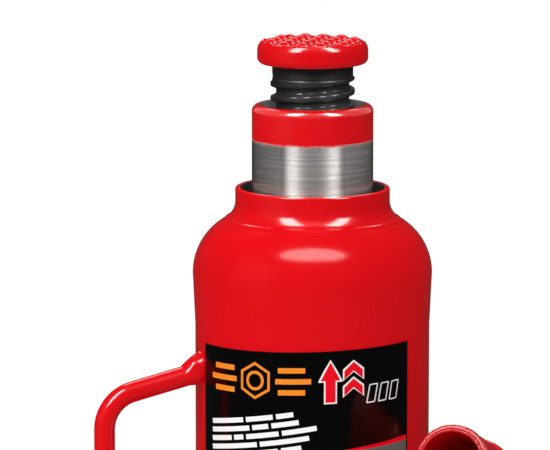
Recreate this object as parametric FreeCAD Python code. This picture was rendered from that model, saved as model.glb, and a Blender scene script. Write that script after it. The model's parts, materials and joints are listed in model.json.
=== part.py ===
import FreeCAD, Part
import os
from math import cos, pi, radians, sin, sqrt, tan

# Welded hydraulic bottle jack, 12 tonne class, in millimetres.
# Origin: ram axis at the underside of the base. +Z is up, the pump stands at +X,
# and the handle socket points its mouth towards -Y, tilted up.

# ---- driving dimensions ----------------------------------------------------
BASE_LEFT, BASE_RIGHT = -56.0, 91.0       # base outline along X
BASE_HALF_Y = 56.0                        # base outline along Y, each side
BASE_TOP = 24.0                           # top of the flat part of the base
TANK_SEAT = 36.0                          # top of the round boss the tank stands on
SEAT_RADIUS = 49.0

TANK_RADIUS = 44.1                        # straight part of the tank
SHOULDER_RADIUS = 45.0                    # slight swage under the shoulder
TANK_WALL = 3.6
NECK_RADIUS = 29.0
NECK_BORE = 27.1
NECK_TOP = 207.0

CYLINDER_BORE = 25.0
CYLINDER_RADIUS = 31.0
CYLINDER_FLOOR = 16.0                     # bottom of the pressure cylinder's pocket
CYLINDER_TOP = 186.0

RAM_RADIUS = 22.75
RAM_BORE = 16.15
RAM_MOUTH = 19.9                          # mouth of the countersink at the ram's rim
RAM_TOP = 238.2                           # the ram is raised 18.5 above its stop
RAM_FOOT = 37.5
RAM_BORE_DEPTH = 122.0

THREAD_PITCH = 16.0 / 3.0
THREAD_CREST = 15.8
THREAD_ROOT = 13.7
COLLAR_RADIUS = 15.15
SCREW_LENGTH = 112.0                      # below the saddle
COLLAR_LENGTH = 4.8
THREAD_END_ANGLE = -144.0                 # where the thread groove runs out under the collar
SADDLE_BOTTOM = 253.4
SADDLE_HEIGHT = 9.6
SADDLE_RADIUS = 20.75
SADDLE_TOP_ROUND, SADDLE_FOOT_ROUND = 4.6, 2.4
WAFFLE_SPACING, WAFFLE_DEPTH = 7.0, 1.3

PUMP_X = 68.0
PUMP_BORE = 7.0
PUMP_RADIUS = 14.0
PUMP_FLOOR = 22.0
PUMP_TOP = 66.0

LINK_PIN_Z = 39.7                         # pivot of the link plates on the base lug
LINK_LENGTH = 48.0                        # between the two pins of a link plate
LINK_PIN_Y = 26.0
LINK_LEAN = -0.55                         # degrees from upright, away from the pump
LEVER_ARM = 28.0                          # fulcrum pin to plunger pin
LEVER_TILT = 20.0                         # degrees the socket points up at rest
PIN_RADIUS = 4.0
PIN_CLEARANCE = 0.06
OPEN_PIVOT = 0.95                         # clearance of the plunger's eye round its pin

SOCKET_RADIUS = 13.3
SOCKET_BORE = 10.8
SOCKET_START = 46.0                       # along the lever from the fulcrum pin
SOCKET_END = 90.0

VALVE_X, VALVE_Z = 20.0, 12.0             # release valve, axis along Y
BASE_FRONT = -BASE_HALF_Y
INLET_FLOOR = 17.0                        # seat of the pump's inlet ball
DELIVERY_Y, DELIVERY_FLOOR = -27.0, 10.0  # well of the delivery ball, beside the pump
RELIEF_Y, RELIEF_Z, RELIEF_SEAT_X = 30.0, 11.0, 46.0
CHECK_BALL = 3.0
RELIEF_BALL = 2.5

HANDLE_ANGLE = -146.0                     # direction of the carry handle round the tank
HANDLE_ROD = 3.9
HANDLE_REACH = 81.5                       # axis to the middle of the grip
HANDLE_TOP, HANDLE_BOTTOM = 139.0, 62.0   # where the rod meets the tank
HANDLE_BEND, HANDLE_SLOPE = 14.0, 13.0    # bend radius, and how far the top leg falls, in degrees

LABEL_START, LABEL_SWEEP = -138.6, 116.8
LABEL_LOW, LABEL_HIGH = 64.0, 152.0
LABEL_SKEW = 1.8
LABEL_THICKNESS = 0.25

UP = FreeCAD.Vector(0, 0, 1)
ORIGIN = FreeCAD.Vector(0, 0, 0)
ALONG_X = FreeCAD.Vector(1, 0, 0)
ALONG_Y = FreeCAD.Vector(0, 1, 0)


# ---- small helpers ---------------------------------------------------------
def vec(x, y, z):
    return FreeCAD.Vector(x, y, z)


def save(node, shape):
    """One STEP file per node, named after the piece."""
    shape.exportStep("parts/" + node + ".step")


def drum(radius, low, high, x=0.0, y=0.0):
    """Upright cylinder from height low to height high."""
    return Part.makeCylinder(radius, high - low, vec(x, y, low))


def rod(radius, start, end):
    """Round bar between two points."""
    along = end.sub(start)
    return Part.makeCylinder(radius, along.Length, start, along)


def block(low, high):
    size = high.sub(low)
    return Part.makeBox(size.x, size.y, size.z, low)


def ring(outer, inner, low, high, x=0.0, y=0.0):
    return drum(outer, low, high, x, y).cut(drum(inner, low - 1, high + 1, x, y))


def turned(start, *steps):
    """Solid of revolution about Z. A step (r, z) is a line, (rm, zm, r, z) an arc through rm, zm."""
    edges = []
    here = vec(start[0], 0, start[1])
    for step in steps + (start,):
        there = vec(step[-2], 0, step[-1])
        if len(step) == 4:
            edges.append(Part.Arc(here, vec(step[0], 0, step[1]), there).toShape())
        elif there.distanceToPoint(here) > 1e-6:
            edges.append(Part.LineSegment(here, there).toShape())
        here = there
    return Part.Face(Part.Wire(edges)).revolve(ORIGIN, UP, 360)


def moved(shape, offset):
    copy = shape.copy()
    copy.translate(offset)
    return copy


def turned_to(shape, axis, degrees, about=ORIGIN):
    copy = shape.copy()
    copy.rotate(about, axis, degrees)
    return copy


def hexagon(across_flats, low, high, x=0.0, y=0.0):
    """Upright hexagonal prism."""
    corner = across_flats / sqrt(3)
    points = [vec(x + corner * cos(k * pi / 3), y + corner * sin(k * pi / 3), low) for k in range(7)]
    return Part.Face(Part.makePolygon(points)).extrude(vec(0, 0, high - low))


def rounded_plate(x0, x1, y0, y1, corner, low, high):
    """Flat plate with round corners seen from above."""
    plate = block(vec(x0, y0, low), vec(x1, y1, high))
    upright = [e for e in plate.Edges if abs(e.tangentAt(e.FirstParameter).z) > 0.99]
    return plate.makeFillet(corner, upright)


def edges_at(shape, height):
    """Edges that lie flat at one height."""
    found = []
    for edge in shape.Edges:
        box = edge.BoundBox
        if abs(box.ZMin - height) < 1e-4 and abs(box.ZMax - height) < 1e-4:
            found.append(edge)
    return found


def softened(plate, across, size):
    """Rounds the edges round the two flat faces of a plate that stands square to X."""
    faces = (plate.BoundBox.XMin, plate.BoundBox.XMax)
    rims = [e for e in plate.Edges if any(abs(e.BoundBox.XMin - x) + abs(e.BoundBox.XMax - x) < 1e-4 for x in faces)]
    return plate.makeFillet(size, [e for e in rims if e.Length > across])


def ball(radius, centre):
    return Part.makeSphere(radius, centre)


def coil(wire_radius, coil_radius, start, height, turns):
    """Compression spring standing upright on start."""
    pitch = height / turns
    helix = Part.makeHelix(pitch, height, coil_radius)
    section = Part.Wire(Part.makeCircle(wire_radius, vec(coil_radius, 0, 0), ALONG_Y))
    spring = Part.Wire(helix.Edges).makePipeShell([section], True, True)
    return moved(spring, start)


# ---- tank, base and ram ----------------------------------------------------
def tank_outline(gap):
    """Arc data of the tank's outside, moved inwards by gap."""
    bend = radians(55)
    throat, shoulder = 8.0 + gap, 23.0 - gap
    start_z = 201.9
    shoulder_r = SHOULDER_RADIUS - 23.0
    shoulder_z = 174.6
    throat_r = NECK_RADIUS + 8.0
    return {
        "neck": (NECK_RADIUS - gap, start_z),
        "throat_mid": (throat_r - throat * cos(bend / 2), start_z - throat * sin(bend / 2)),
        "throat_end": (throat_r - throat * cos(bend), start_z - throat * sin(bend)),
        "dome_start": (shoulder_r + shoulder * cos(bend), shoulder_z + shoulder * sin(bend)),
        "dome_mid": (shoulder_r + shoulder * cos(bend / 2), shoulder_z + shoulder * sin(bend / 2)),
        "dome_end": (shoulder_r + shoulder, shoulder_z),
        "swage": (TANK_RADIUS - gap, LABEL_HIGH + 3.0),
    }


def reservoir_tank():
    out = tank_outline(0.0)
    into = tank_outline(TANK_WALL)
    lip = 0.9
    shell = turned(
        (TANK_RADIUS - TANK_WALL, TANK_SEAT),
        (TANK_RADIUS, TANK_SEAT),
        out["swage"],
        out["dome_end"],
        out["dome_mid"] + out["dome_start"],
        out["throat_end"],
        out["throat_mid"] + out["neck"],
        (NECK_RADIUS, NECK_TOP - lip),
        (NECK_RADIUS - lip * 0.29, NECK_TOP - lip * 0.29, NECK_RADIUS - lip, NECK_TOP),
        (NECK_BORE + 0.6, NECK_TOP),
        (NECK_BORE + 0.18, NECK_TOP - 0.18, NECK_BORE, NECK_TOP - 0.6),
        (NECK_BORE, 197.0),
        into["throat_end"],
        into["dome_start"],
        into["dome_mid"] + into["dome_end"],
        into["swage"],
    )
    filler_way = rod(5.5, filler_point(30.0), filler_point(60.0))
    return shell.cut(filler_way)


def filler_point(reach):
    """Point on the filler hole's axis, level, at the back of the tank."""
    angle = radians(108)
    return vec(reach * cos(angle), reach * sin(angle), 161.0)


def filler_plug():
    stem = rod(5.45, filler_point(TANK_RADIUS - 5.0), filler_point(46.0))
    cap = rod(8.0, filler_point(46.0), filler_point(48.2))
    cap = cap.makeFillet(0.9, [e for e in cap.Edges if e.Length > 45])
    pull = ball(3.0, filler_point(48.0))
    nose = ball(4.9, filler_point(TANK_RADIUS - 5.0))
    body = stem.fuse([cap, pull, nose])
    return body.cut(drum(SHOULDER_RADIUS + 0.02, 150, 175).cut(rod(5.48, filler_point(30), filler_point(60))))


def base_casting():
    plate = rounded_plate(BASE_LEFT, BASE_RIGHT, -BASE_HALF_Y, BASE_HALF_Y, 16.0, 0.0, BASE_TOP)
    plate = plate.makeFillet(3.5, edges_at(plate, BASE_TOP))
    plate = plate.makeFillet(1.2, edges_at(plate, 0.0))
    seat = turned((0, 10), (SEAT_RADIUS + 3.0, 10), (SEAT_RADIUS + 3.0, BASE_TOP),
                  (SEAT_RADIUS + 0.9, BASE_TOP + 0.9, SEAT_RADIUS, BASE_TOP + 3.0),
                  (SEAT_RADIUS, TANK_SEAT - 1.2), (SEAT_RADIUS - 1.2, TANK_SEAT), (0, TANK_SEAT))
    register = drum(TANK_RADIUS - TANK_WALL - 0.1, TANK_SEAT - 1, TANK_SEAT + 4.0)
    boss = moved(turned((0, 10), (19.3, 10), (19.3, BASE_TOP), (18.24, BASE_TOP + 0.44, 17.8, BASE_TOP + 1.5),
                        (17.8, 33.2), (17.0, 34.0), (0, 34.0)), vec(PUMP_X, 0, 0))
    body = plate.fuse([seat, register, boss, link_lug(), valve_boss()])
    pocket = drum(CYLINDER_RADIUS + 0.05, CYLINDER_FLOOR, 60)
    pump_pocket = drum(11.0, PUMP_FLOOR, 60, PUMP_X, 0)
    return body.cut(pocket).cut(pump_pocket).cut(base_passages()).cut(valve_bores()).removeSplitter()


def link_lug():
    """Lug cast on the base that carries the link plates."""
    centre = vec(PUMP_X - 11.4, LINK_PIN_Y, LINK_PIN_Z)
    web = block(vec(PUMP_X - 11.4, LINK_PIN_Y - 7.0, 10), vec(PUMP_X + 11.4, LINK_PIN_Y + 7.0, LINK_PIN_Z))
    head = Part.makeCylinder(7.0, 22.8, centre, ALONG_X)
    bore = Part.makeCylinder(PIN_RADIUS + PIN_CLEARANCE, 40, centre.sub(vec(8, 0, 0)), ALONG_X)
    return web.fuse(head).cut(bore)


def valve_boss():
    """Raised boss on the front face round the release valve."""
    start = vec(VALVE_X, BASE_FRONT + 6, VALVE_Z)
    boss = Part.makeCylinder(11.2, 10.0, start, vec(0, -1, 0))
    return boss.makeFillet(1.2, [e for e in boss.Edges if e.BoundBox.YMax < BASE_FRONT - 3.9])


def valve_bores():
    front = vec(VALVE_X, BASE_FRONT - 6, VALVE_Z)
    wide = Part.makeCylinder(7.05, 18.0, front, ALONG_Y)
    thread = Part.makeCylinder(5.0, 34.0, front, ALONG_Y)
    return wide.fuse(thread)


def seated(radius, seat_radius=2.0):
    """Height of a ball's centre above the rim of the hole it sits on."""
    return sqrt(radius ** 2 - seat_radius ** 2)


def base_passages():
    """Drilled oil ways, in the order the oil takes them."""
    suction_drop = drum(3.0, 12.0, 60, 35.6, 0)
    suction_run = rod(2.2, vec(35.6, 0, 12.0), vec(BASE_RIGHT + 1, 0, 12.0))
    inlet_seat = drum(2.0, 12.0, 18, PUMP_X, 0)
    inlet_chamber = drum(4.2, INLET_FLOOR, 30, PUMP_X, 0)
    transfer = rod(1.5, vec(PUMP_X, -2.0, INLET_FLOOR + 3.0), vec(PUMP_X, DELIVERY_Y, 7.6))
    delivery_seat = drum(2.0, 6.5, 12, PUMP_X, DELIVERY_Y)
    delivery_well = drum(5.0, DELIVERY_FLOOR, 30, PUMP_X, DELIVERY_Y)
    inner_end, outer_end = pressure_line()
    pressure_run = rod(2.0, inner_end, outer_end)
    riser = drum(2.0, 12.5, 20, inner_end.x, inner_end.y)
    release_seat = rod(2.0, vec(VALVE_X, -15.0, VALVE_Z), vec(VALVE_X, -30.0, VALVE_Z))
    return_drop = drum(2.2, VALVE_Z, 60, VALVE_X, -29.9)
    relief_bore = rod(3.6, vec(BASE_RIGHT + 1, RELIEF_Y, RELIEF_Z), vec(RELIEF_SEAT_X, RELIEF_Y, RELIEF_Z))
    relief_elbow = vec(RELIEF_SEAT_X - 4, RELIEF_Y, RELIEF_Z)
    relief_seat = rod(1.5, vec(RELIEF_SEAT_X + 1, RELIEF_Y, RELIEF_Z), relief_elbow)
    relief_line = rod(1.5, relief_elbow, vec(8, 4, RELIEF_Z))
    relief_riser = drum(1.5, RELIEF_Z, 20, 8, 4)
    relief_return = rod(1.5, vec(60, RELIEF_Y, RELIEF_Z), vec(60, 0, 12))
    entries = [rod(3.6, vec(BASE_RIGHT - 7.5, 0, 12.0), vec(BASE_RIGHT + 1, 0, 12.0)),
               rod(3.6, outer_end.sub(pressure_heading() * 9.0), outer_end)]
    pieces = [suction_run, inlet_seat, inlet_chamber, transfer, delivery_seat, delivery_well, pressure_run,
              riser, release_seat, return_drop, relief_bore, relief_seat, relief_line, relief_riser,
              relief_return]
    return suction_drop.fuse(pieces + entries)


def pressure_line():
    """Inner and outer end of the drilling that feeds the cylinder."""
    inner = vec(6.0, -14.0, 12.5)
    heading = pressure_heading()
    reach = (BASE_RIGHT + 1.5 - inner.x) / heading.x
    return inner, inner.add(heading * reach)


def pressure_heading():
    return vec(PUMP_X - 6.0, DELIVERY_Y + 14.0, 0).normalize()


def pressure_cylinder():
    return turned((CYLINDER_BORE, CYLINDER_FLOOR + 2.0), (CYLINDER_RADIUS, CYLINDER_FLOOR + 2.0),
                  (CYLINDER_RADIUS, CYLINDER_TOP - 14.0), (CYLINDER_RADIUS - 1.0, CYLINDER_TOP - 13.0),
                  (CYLINDER_RADIUS - 3.0, CYLINDER_TOP), (CYLINDER_BORE + 0.6, CYLINDER_TOP),
                  (CYLINDER_BORE, CYLINDER_TOP - 0.6))


def gland_nut():
    """Threaded nut in the neck that guides the ram and closes the cylinder."""
    top = 200.0
    foot = 181.0
    nut = turned((RAM_RADIUS + 0.08, foot), (CYLINDER_BORE - 0.05, foot), (CYLINDER_BORE - 0.05, CYLINDER_TOP),
                 (NECK_BORE - 0.05, CYLINDER_TOP), (NECK_BORE - 0.05, top - 0.8), (NECK_BORE - 0.8, top),
                 (RAM_RADIUS + 2.6, top), (RAM_RADIUS + 2.6, top - 4.5), (RAM_RADIUS + 0.08, top - 4.5))
    seal_groove = ring(CYLINDER_BORE + 1, CYLINDER_BORE - 1.4, 182.0, 184.5)
    ram_groove = ring(RAM_RADIUS + 1.9, RAM_RADIUS - 1, 188.0, 190.6)
    wrench_slots = [block(vec(-NECK_BORE, -2.0, top - 3.0), vec(-RAM_RADIUS - 2.7, 2.0, top + 1)),
                    block(vec(RAM_RADIUS + 2.7, -2.0, top - 3.0), vec(NECK_BORE, 2.0, top + 1))]
    return nut.cut(seal_groove).cut(ram_groove).cut(wrench_slots[0]).cut(wrench_slots[1])


def ram():
    edge = 2.6
    body = turned(
        (0, RAM_FOOT),
        (15.0, RAM_FOOT), (15.0, RAM_FOOT + 14.5), (RAM_RADIUS - 0.6, RAM_FOOT + 14.5),
        (RAM_RADIUS, RAM_FOOT + 15.1),
        (RAM_RADIUS, RAM_TOP - edge),
        (RAM_RADIUS - edge * 0.29, RAM_TOP - edge * 0.29, RAM_RADIUS - edge, RAM_TOP),
        (RAM_MOUTH + 0.1, RAM_TOP),
        (RAM_MOUTH - 0.5, RAM_TOP - 0.8),
        (RAM_BORE + 1.6, RAM_TOP - 7.0),
        (RAM_BORE, RAM_TOP - 8.6),
        (RAM_BORE, RAM_TOP - RAM_BORE_DEPTH + 6.0),
        (0, RAM_TOP - RAM_BORE_DEPTH),
    )
    clip_groove = ring(16.0, 13.6, RAM_FOOT + 1.6, RAM_FOOT + 3.3)
    return body.cut(clip_groove)


def thread_cutter(length, top):
    """Helical groove with round flanks, for a right-hand thread that ends at height top."""
    half_crest = THREAD_PITCH * 0.29
    half_floor = THREAD_PITCH * 0.16
    outside = THREAD_CREST + 1.0
    helix = Part.makeHelix(THREAD_PITCH, length, THREAD_CREST)
    points = [vec(outside, 0, -half_crest - 0.35), vec(THREAD_CREST - 0.5, 0, -half_crest + 0.15),
              vec(THREAD_ROOT, 0, -half_floor), vec(THREAD_ROOT, 0, half_floor),
              vec(THREAD_CREST - 0.5, 0, half_crest - 0.15), vec(outside, 0, half_crest + 0.35)]
    section = Part.makePolygon(points + points[:1])
    groove = Part.Wire(helix.Edges).makePipeShell([section], True, True)
    return moved(groove, vec(0, 0, top - length))


def extension_screw():
    top = SADDLE_BOTTOM
    foot = top - SCREW_LENGTH
    groove = turned_to(thread_cutter(SCREW_LENGTH, top - 4.6), UP, THREAD_END_ANGLE)
    bar = drum(THREAD_CREST, foot, top + 5.0).cut(groove)
    bar = bar.cut(ring(THREAD_CREST + 4, 7.0, foot - 6.0, foot + 6.0))
    bar = bar.cut(ring(THREAD_CREST + 4, COLLAR_RADIUS, top - COLLAR_LENGTH, top + 6.0))
    bar = bar.cut(ring(THREAD_CREST + 1, 8.0, top, top + 6.0))
    clip_groove = ring(9.0, 6.1, foot + 1.2, foot + 2.5)
    return bar.cut(clip_groove)


def screw_stop_washer():
    """Loose washer at the screw's foot that stops it leaving the ram."""
    foot = SADDLE_BOTTOM - SCREW_LENGTH
    return ring(RAM_BORE - 0.35, 7.3, foot + 3.0, foot + 5.7)


def retaining_ring(inner, outer, low, high):
    """Open spring ring."""
    gap = block(vec(0, -inner * 0.35, low - 1), vec(outer + 1, inner * 0.35, high + 1))
    return ring(outer, inner, low, high).cut(gap)


def screw_clip():
    foot = SADDLE_BOTTOM - SCREW_LENGTH
    return retaining_ring(6.15, 9.5, foot + 1.25, foot + 2.45)


def saddle():
    """Round cap with a waffle top: two sets of parallel grooves crossing at right angles."""
    low, high = SADDLE_BOTTOM, SADDLE_BOTTOM + SADDLE_HEIGHT
    on_arc = 1 - sqrt(0.5)
    foot, crown = SADDLE_FOOT_ROUND, SADDLE_TOP_ROUND
    body = turned((8.05, low), (SADDLE_RADIUS - foot, low),
                  (SADDLE_RADIUS - foot * on_arc, low + foot * on_arc, SADDLE_RADIUS, low + foot),
                  (SADDLE_RADIUS, high - crown),
                  (SADDLE_RADIUS - crown * on_arc, high - crown * on_arc, SADDLE_RADIUS - crown, high),
                  (0, high), (0, low + 5.05), (8.05, low + 5.05))
    grooves = [waffle_groove(step, turn) for step in range(-3, 3) for turn in (0, 90)]
    return body.cut(grooves[0].multiFuse(grooves[1:]))


def waffle_groove(step, turn):
    """One straight groove across the saddle's top, with sloping sides."""
    reach = SADDLE_RADIUS + 5
    high = SADDLE_BOTTOM + SADDLE_HEIGHT
    middle = (step + 0.5) * WAFFLE_SPACING
    half_mouth, half_floor = 1.5, 0.45
    outline = [(-half_mouth, 0.4), (half_mouth, 0.4), (half_floor, -WAFFLE_DEPTH), (-half_floor, -WAFFLE_DEPTH)]
    corners = [vec(-reach, middle + across, high + rise) for across, rise in outline + outline[:1]]
    groove = Part.Face(Part.makePolygon(corners)).extrude(vec(2 * reach, 0, 0))
    return turned_to(groove, UP, turn)


def piston_head():
    low = RAM_FOOT - 2.0
    head = turned((0, low), (CYLINDER_BORE - 0.4, low), (CYLINDER_BORE - 0.15, low + 0.4),
                  (CYLINDER_BORE - 0.15, low + 12.5), (CYLINDER_BORE - 1.0, low + 13.5),
                  (15.05, low + 13.5), (15.05, low + 2.0), (0, low + 2.0))
    cup_groove = ring(CYLINDER_BORE + 1, CYLINDER_BORE - 3.6, low + 1.8, low + 5.4)
    wear_groove = ring(CYLINDER_BORE + 1, CYLINDER_BORE - 1.6, low + 7.6, low + 11.0)
    clip_way = ring(16.8, 14.0, low + 3.6, low + 5.3)
    return head.cut(cup_groove).cut(wear_groove).cut(clip_way)


def carry_handle():
    """Bent rod welded to the tank at both ends, in one upright plane."""
    start_top = vec(TANK_RADIUS + 0.4, 0, HANDLE_TOP)
    drop = (HANDLE_REACH - start_top.x) * tan(radians(HANDLE_SLOPE))
    corner_top = vec(HANDLE_REACH, 0, HANDLE_TOP - drop)
    corner_low = vec(HANDLE_REACH, 0, HANDLE_BOTTOM)
    start_low = vec(TANK_RADIUS + 0.4, 0, HANDLE_BOTTOM)
    wire = rounded_path([start_top, corner_top, corner_low, start_low], HANDLE_BEND)
    section = Part.Wire(Part.makeCircle(HANDLE_ROD, start_top, corner_top.sub(start_top)))
    bar = wire.makePipeShell([section], True, True)
    return turned_to(bar, UP, HANDLE_ANGLE).cut(drum(TANK_RADIUS, 30, 160))


def rounded_path(points, bend):
    """Straight runs joined by tangent arcs of radius bend."""
    edges = []
    here = points[0]
    for before, corner, after in zip(points, points[1:], points[2:]):
        into = before.sub(corner).normalize()
        out = after.sub(corner).normalize()
        half = into.getAngle(out) / 2
        trim = bend / tan(half)
        start = corner.add(vec(*into) * trim)
        end = corner.add(vec(*out) * trim)
        middle_way = into.add(out).normalize()
        middle = corner.add(middle_way * (bend / sin(half) - bend))
        edges.append(Part.LineSegment(here, start).toShape())
        edges.append(Part.Arc(start, middle, end).toShape())
        here = end
    edges.append(Part.LineSegment(here, points[-1]).toShape())
    return Part.Wire(edges)


def carry_handle_welds():
    """Weld collars where the rod meets the tank."""
    beads = []
    for height in (HANDLE_TOP, HANDLE_BOTTOM):
        cone = Part.makeCone(5.4, HANDLE_ROD + 0.5, 6.4, vec(TANK_RADIUS - 1.0, 0, height), ALONG_X)
        cone = cone.makeFillet(0.35, [e for e in cone.Edges if e.BoundBox.XMin > TANK_RADIUS + 5])
        beads.append(turned_to(cone, UP, HANDLE_ANGLE))
    solids = [one.cut(carry_handle()).cut(drum(TANK_RADIUS, 30, 160)) for one in beads]
    return Part.makeCompound([s.Solids[0] for s in solids])


def tank_base_weld():
    """Fillet weld all round the foot of the tank."""
    return turned((TANK_RADIUS, TANK_SEAT), (TANK_RADIUS + 4.3, TANK_SEAT),
                  (TANK_RADIUS + 2.6, TANK_SEAT + 2.8, TANK_RADIUS, TANK_SEAT + 4.5))


def rating_label():
    """Printed sticker wrapped round the front of the tank, put on slightly askew."""
    low, high = LABEL_LOW, LABEL_HIGH
    band = drum(TANK_RADIUS + LABEL_THICKNESS, low - 9, high + 9)
    band = band.cut(drum(TANK_RADIUS, low - 10, high + 10))
    sector = Part.makeCylinder(80, high - low + 30, vec(0, 0, low - 15), UP, LABEL_SWEEP)
    sector = turned_to(sector, UP, LABEL_START)
    middle = LABEL_START + LABEL_SWEEP / 2
    slab = block(vec(-90, -90, low), vec(90, 90, high))
    outward = vec(cos(radians(middle)), sin(radians(middle)), 0)
    slab = turned_to(slab, outward, LABEL_SKEW, vec(0, 0, (low + high) / 2))
    return band.common(sector).common(slab)


# ---- pump ------------------------------------------------------------------
def pump_cylinder():
    """Steel barrel screwed into the base."""
    barrel = turned((PUMP_BORE + 0.05, PUMP_FLOOR + 1.5), (10.95, PUMP_FLOOR + 1.5), (10.95, 34.0), (PUMP_RADIUS, 34.0),
                    (PUMP_RADIUS, 60.0), (PUMP_RADIUS - 1.6, 61.6), (PUMP_RADIUS - 1.6, PUMP_TOP - 0.8),
                    (PUMP_RADIUS - 2.4, PUMP_TOP), (PUMP_BORE + 2.6, PUMP_TOP), (PUMP_BORE + 2.6, PUMP_TOP - 3.4),
                    (PUMP_BORE + 0.05, PUMP_TOP - 3.4))
    return moved(barrel, vec(PUMP_X, 0, 0)).fuse(ring_hex())


def ring_hex():
    """Spanner hexagon near the foot of the pump barrel, with chamfered corners."""
    prism = hexagon(29.0, 34.0, 45.0, PUMP_X, 0)
    crown = moved(turned((0, 34.0), (15.4, 34.0), (16.9, 35.0), (16.9, 44.0), (15.4, 45.0), (0, 45.0)), vec(PUMP_X, 0, 0))
    return prism.common(crown).cut(drum(PUMP_RADIUS - 0.5, 30, 50, PUMP_X, 0))


def plunger_pin_point():
    """Where the lever's plunger pin stands at rest."""
    fulcrum = fulcrum_point()
    tilt = radians(LEVER_TILT)
    return vec(PUMP_X, fulcrum.y - LEVER_ARM * cos(tilt), fulcrum.z + LEVER_ARM * sin(tilt))


def fulcrum_point():
    lean = radians(LINK_LEAN)
    foot = link_foot()
    return vec(PUMP_X, foot.y + LINK_LENGTH * sin(lean), foot.z + LINK_LENGTH * cos(lean))


def link_foot():
    return vec(PUMP_X, LINK_PIN_Y, LINK_PIN_Z)


def pump_plunger():
    pin = plunger_pin_point()
    foot = pin.z - 60.0
    rod_part = turned((0, foot), (PUMP_BORE - 1.0, foot), (PUMP_BORE - 0.03, foot + 1.0),
                      (PUMP_BORE - 0.03, pin.z - 9.0), (0, pin.z - 9.0))
    groove = ring(PUMP_BORE + 1, PUMP_BORE - 2.0, foot + 3.0, foot + 5.8)
    shank = moved(rod_part.cut(groove), vec(PUMP_X, 0, 0))
    head = block(vec(PUMP_X - 6.5, -8.5, pin.z - 13.0), vec(PUMP_X + 6.5, 8.5, pin.z))
    head = head.fuse(Part.makeCylinder(8.5, 13.0, vec(PUMP_X - 6.5, 0, pin.z), ALONG_X))
    eye = Part.makeCylinder(PIN_RADIUS + OPEN_PIVOT, 20.0, vec(PUMP_X - 10.0, 0, pin.z), ALONG_X)
    return shank.fuse(head).cut(eye).removeSplitter()


def plunger_seal():
    foot = plunger_pin_point().z - 60.0
    return ring(PUMP_BORE - 0.01, PUMP_BORE - 2.0, foot + 3.0, foot + 5.8, PUMP_X, 0)


def on_lever(shape):
    """Lays a piece modelled level, fulcrum at the origin and mouth to -Y, on the lever at rest."""
    return moved(turned_to(shape, ALONG_X, -LEVER_TILT), fulcrum_point())


def along_lever(radius, start, end):
    return rod(radius, vec(0, -start, 0), vec(0, -end, 0))


def cross_bore(radius, along, half_width=30.0):
    return rod(radius, vec(-half_width, -along, 0), vec(half_width, -along, 0))


def rocker_yoke():
    """Fork that straddles the plunger's head and ends in the plug the socket tube is welded to."""
    cheeks = []
    for side in (-1, 1):
        near, far = sorted((side * 7.2, side * 11.4))
        strap = block(vec(near, -SOCKET_START + 2, -9.0), vec(far, 0, 9.0))
        nose = rod(9.0, vec(near, 0, 0), vec(far, 0, 0))
        cheeks.append(softened(strap.fuse(nose).removeSplitter(), 1.0, 0.6))
    plug = along_lever(SOCKET_RADIUS, SOCKET_START - 5.0, SOCKET_START)
    body = cheeks[0].fuse([cheeks[1], plug])
    body = body.cut(cross_bore(PIN_RADIUS, LEVER_ARM)).cut(cross_bore(PIN_RADIUS, 0.0))
    return on_lever(body.removeSplitter())


def handle_socket():
    """Tube that takes the pump handle, with a rolled lip at its mouth."""
    tube = turned((SOCKET_BORE, SOCKET_START), (SOCKET_RADIUS - 0.8, SOCKET_START),
                  (SOCKET_RADIUS, SOCKET_START + 0.8), (SOCKET_RADIUS, SOCKET_END - 1.3),
                  (SOCKET_RADIUS - 0.38, SOCKET_END - 0.38, SOCKET_RADIUS - 1.3, SOCKET_END),
                  (SOCKET_BORE + 0.9, SOCKET_END),
                  (SOCKET_BORE + 0.26, SOCKET_END - 0.26, SOCKET_BORE, SOCKET_END - 0.9))
    return on_lever(turned_to(tube, ALONG_X, 90))


def socket_weld():
    """Weld ring where the socket tube meets the yoke's plug."""
    r = SOCKET_RADIUS
    low = SOCKET_START - 1.6
    seam = turned((r, low), (r + 0.75, low + 0.5, r + 0.9, SOCKET_START + 0.2),
                  (r + 0.6, SOCKET_START + 2.0, r, SOCKET_START + 2.6), (r, SOCKET_START + 0.8),
                  (r - 0.8, SOCKET_START), (r, SOCKET_START))
    return on_lever(turned_to(seam, ALONG_X, 90))


def cross_pin(half_length, centre):
    """Pin across the lever with a chamfer and a clip groove at each end."""
    bar = turned((0, -half_length), (PIN_RADIUS - 0.6, -half_length), (PIN_RADIUS, -half_length + 0.6),
                 (PIN_RADIUS, half_length - 0.6), (PIN_RADIUS - 0.6, half_length), (0, half_length))
    for side in (-1, 1):
        middle = side * (half_length - 1.6)
        bar = bar.cut(ring(PIN_RADIUS + 1, PIN_RADIUS - 0.9, middle - 0.5, middle + 0.5))
    return moved(turned_to(bar, ALONG_Y, 90), centre)


def pin_clips(half_length, centre):
    """Pair of spring clips in the pin's grooves."""
    clips = []
    for side in (-1, 1):
        middle = side * (half_length - 1.6)
        clip = retaining_ring(PIN_RADIUS - 0.88, PIN_RADIUS + 2.4, middle - 0.45, middle + 0.45)
        clips.append(moved(turned_to(clip, ALONG_Y, 90), centre))
    return Part.makeCompound(clips)


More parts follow.
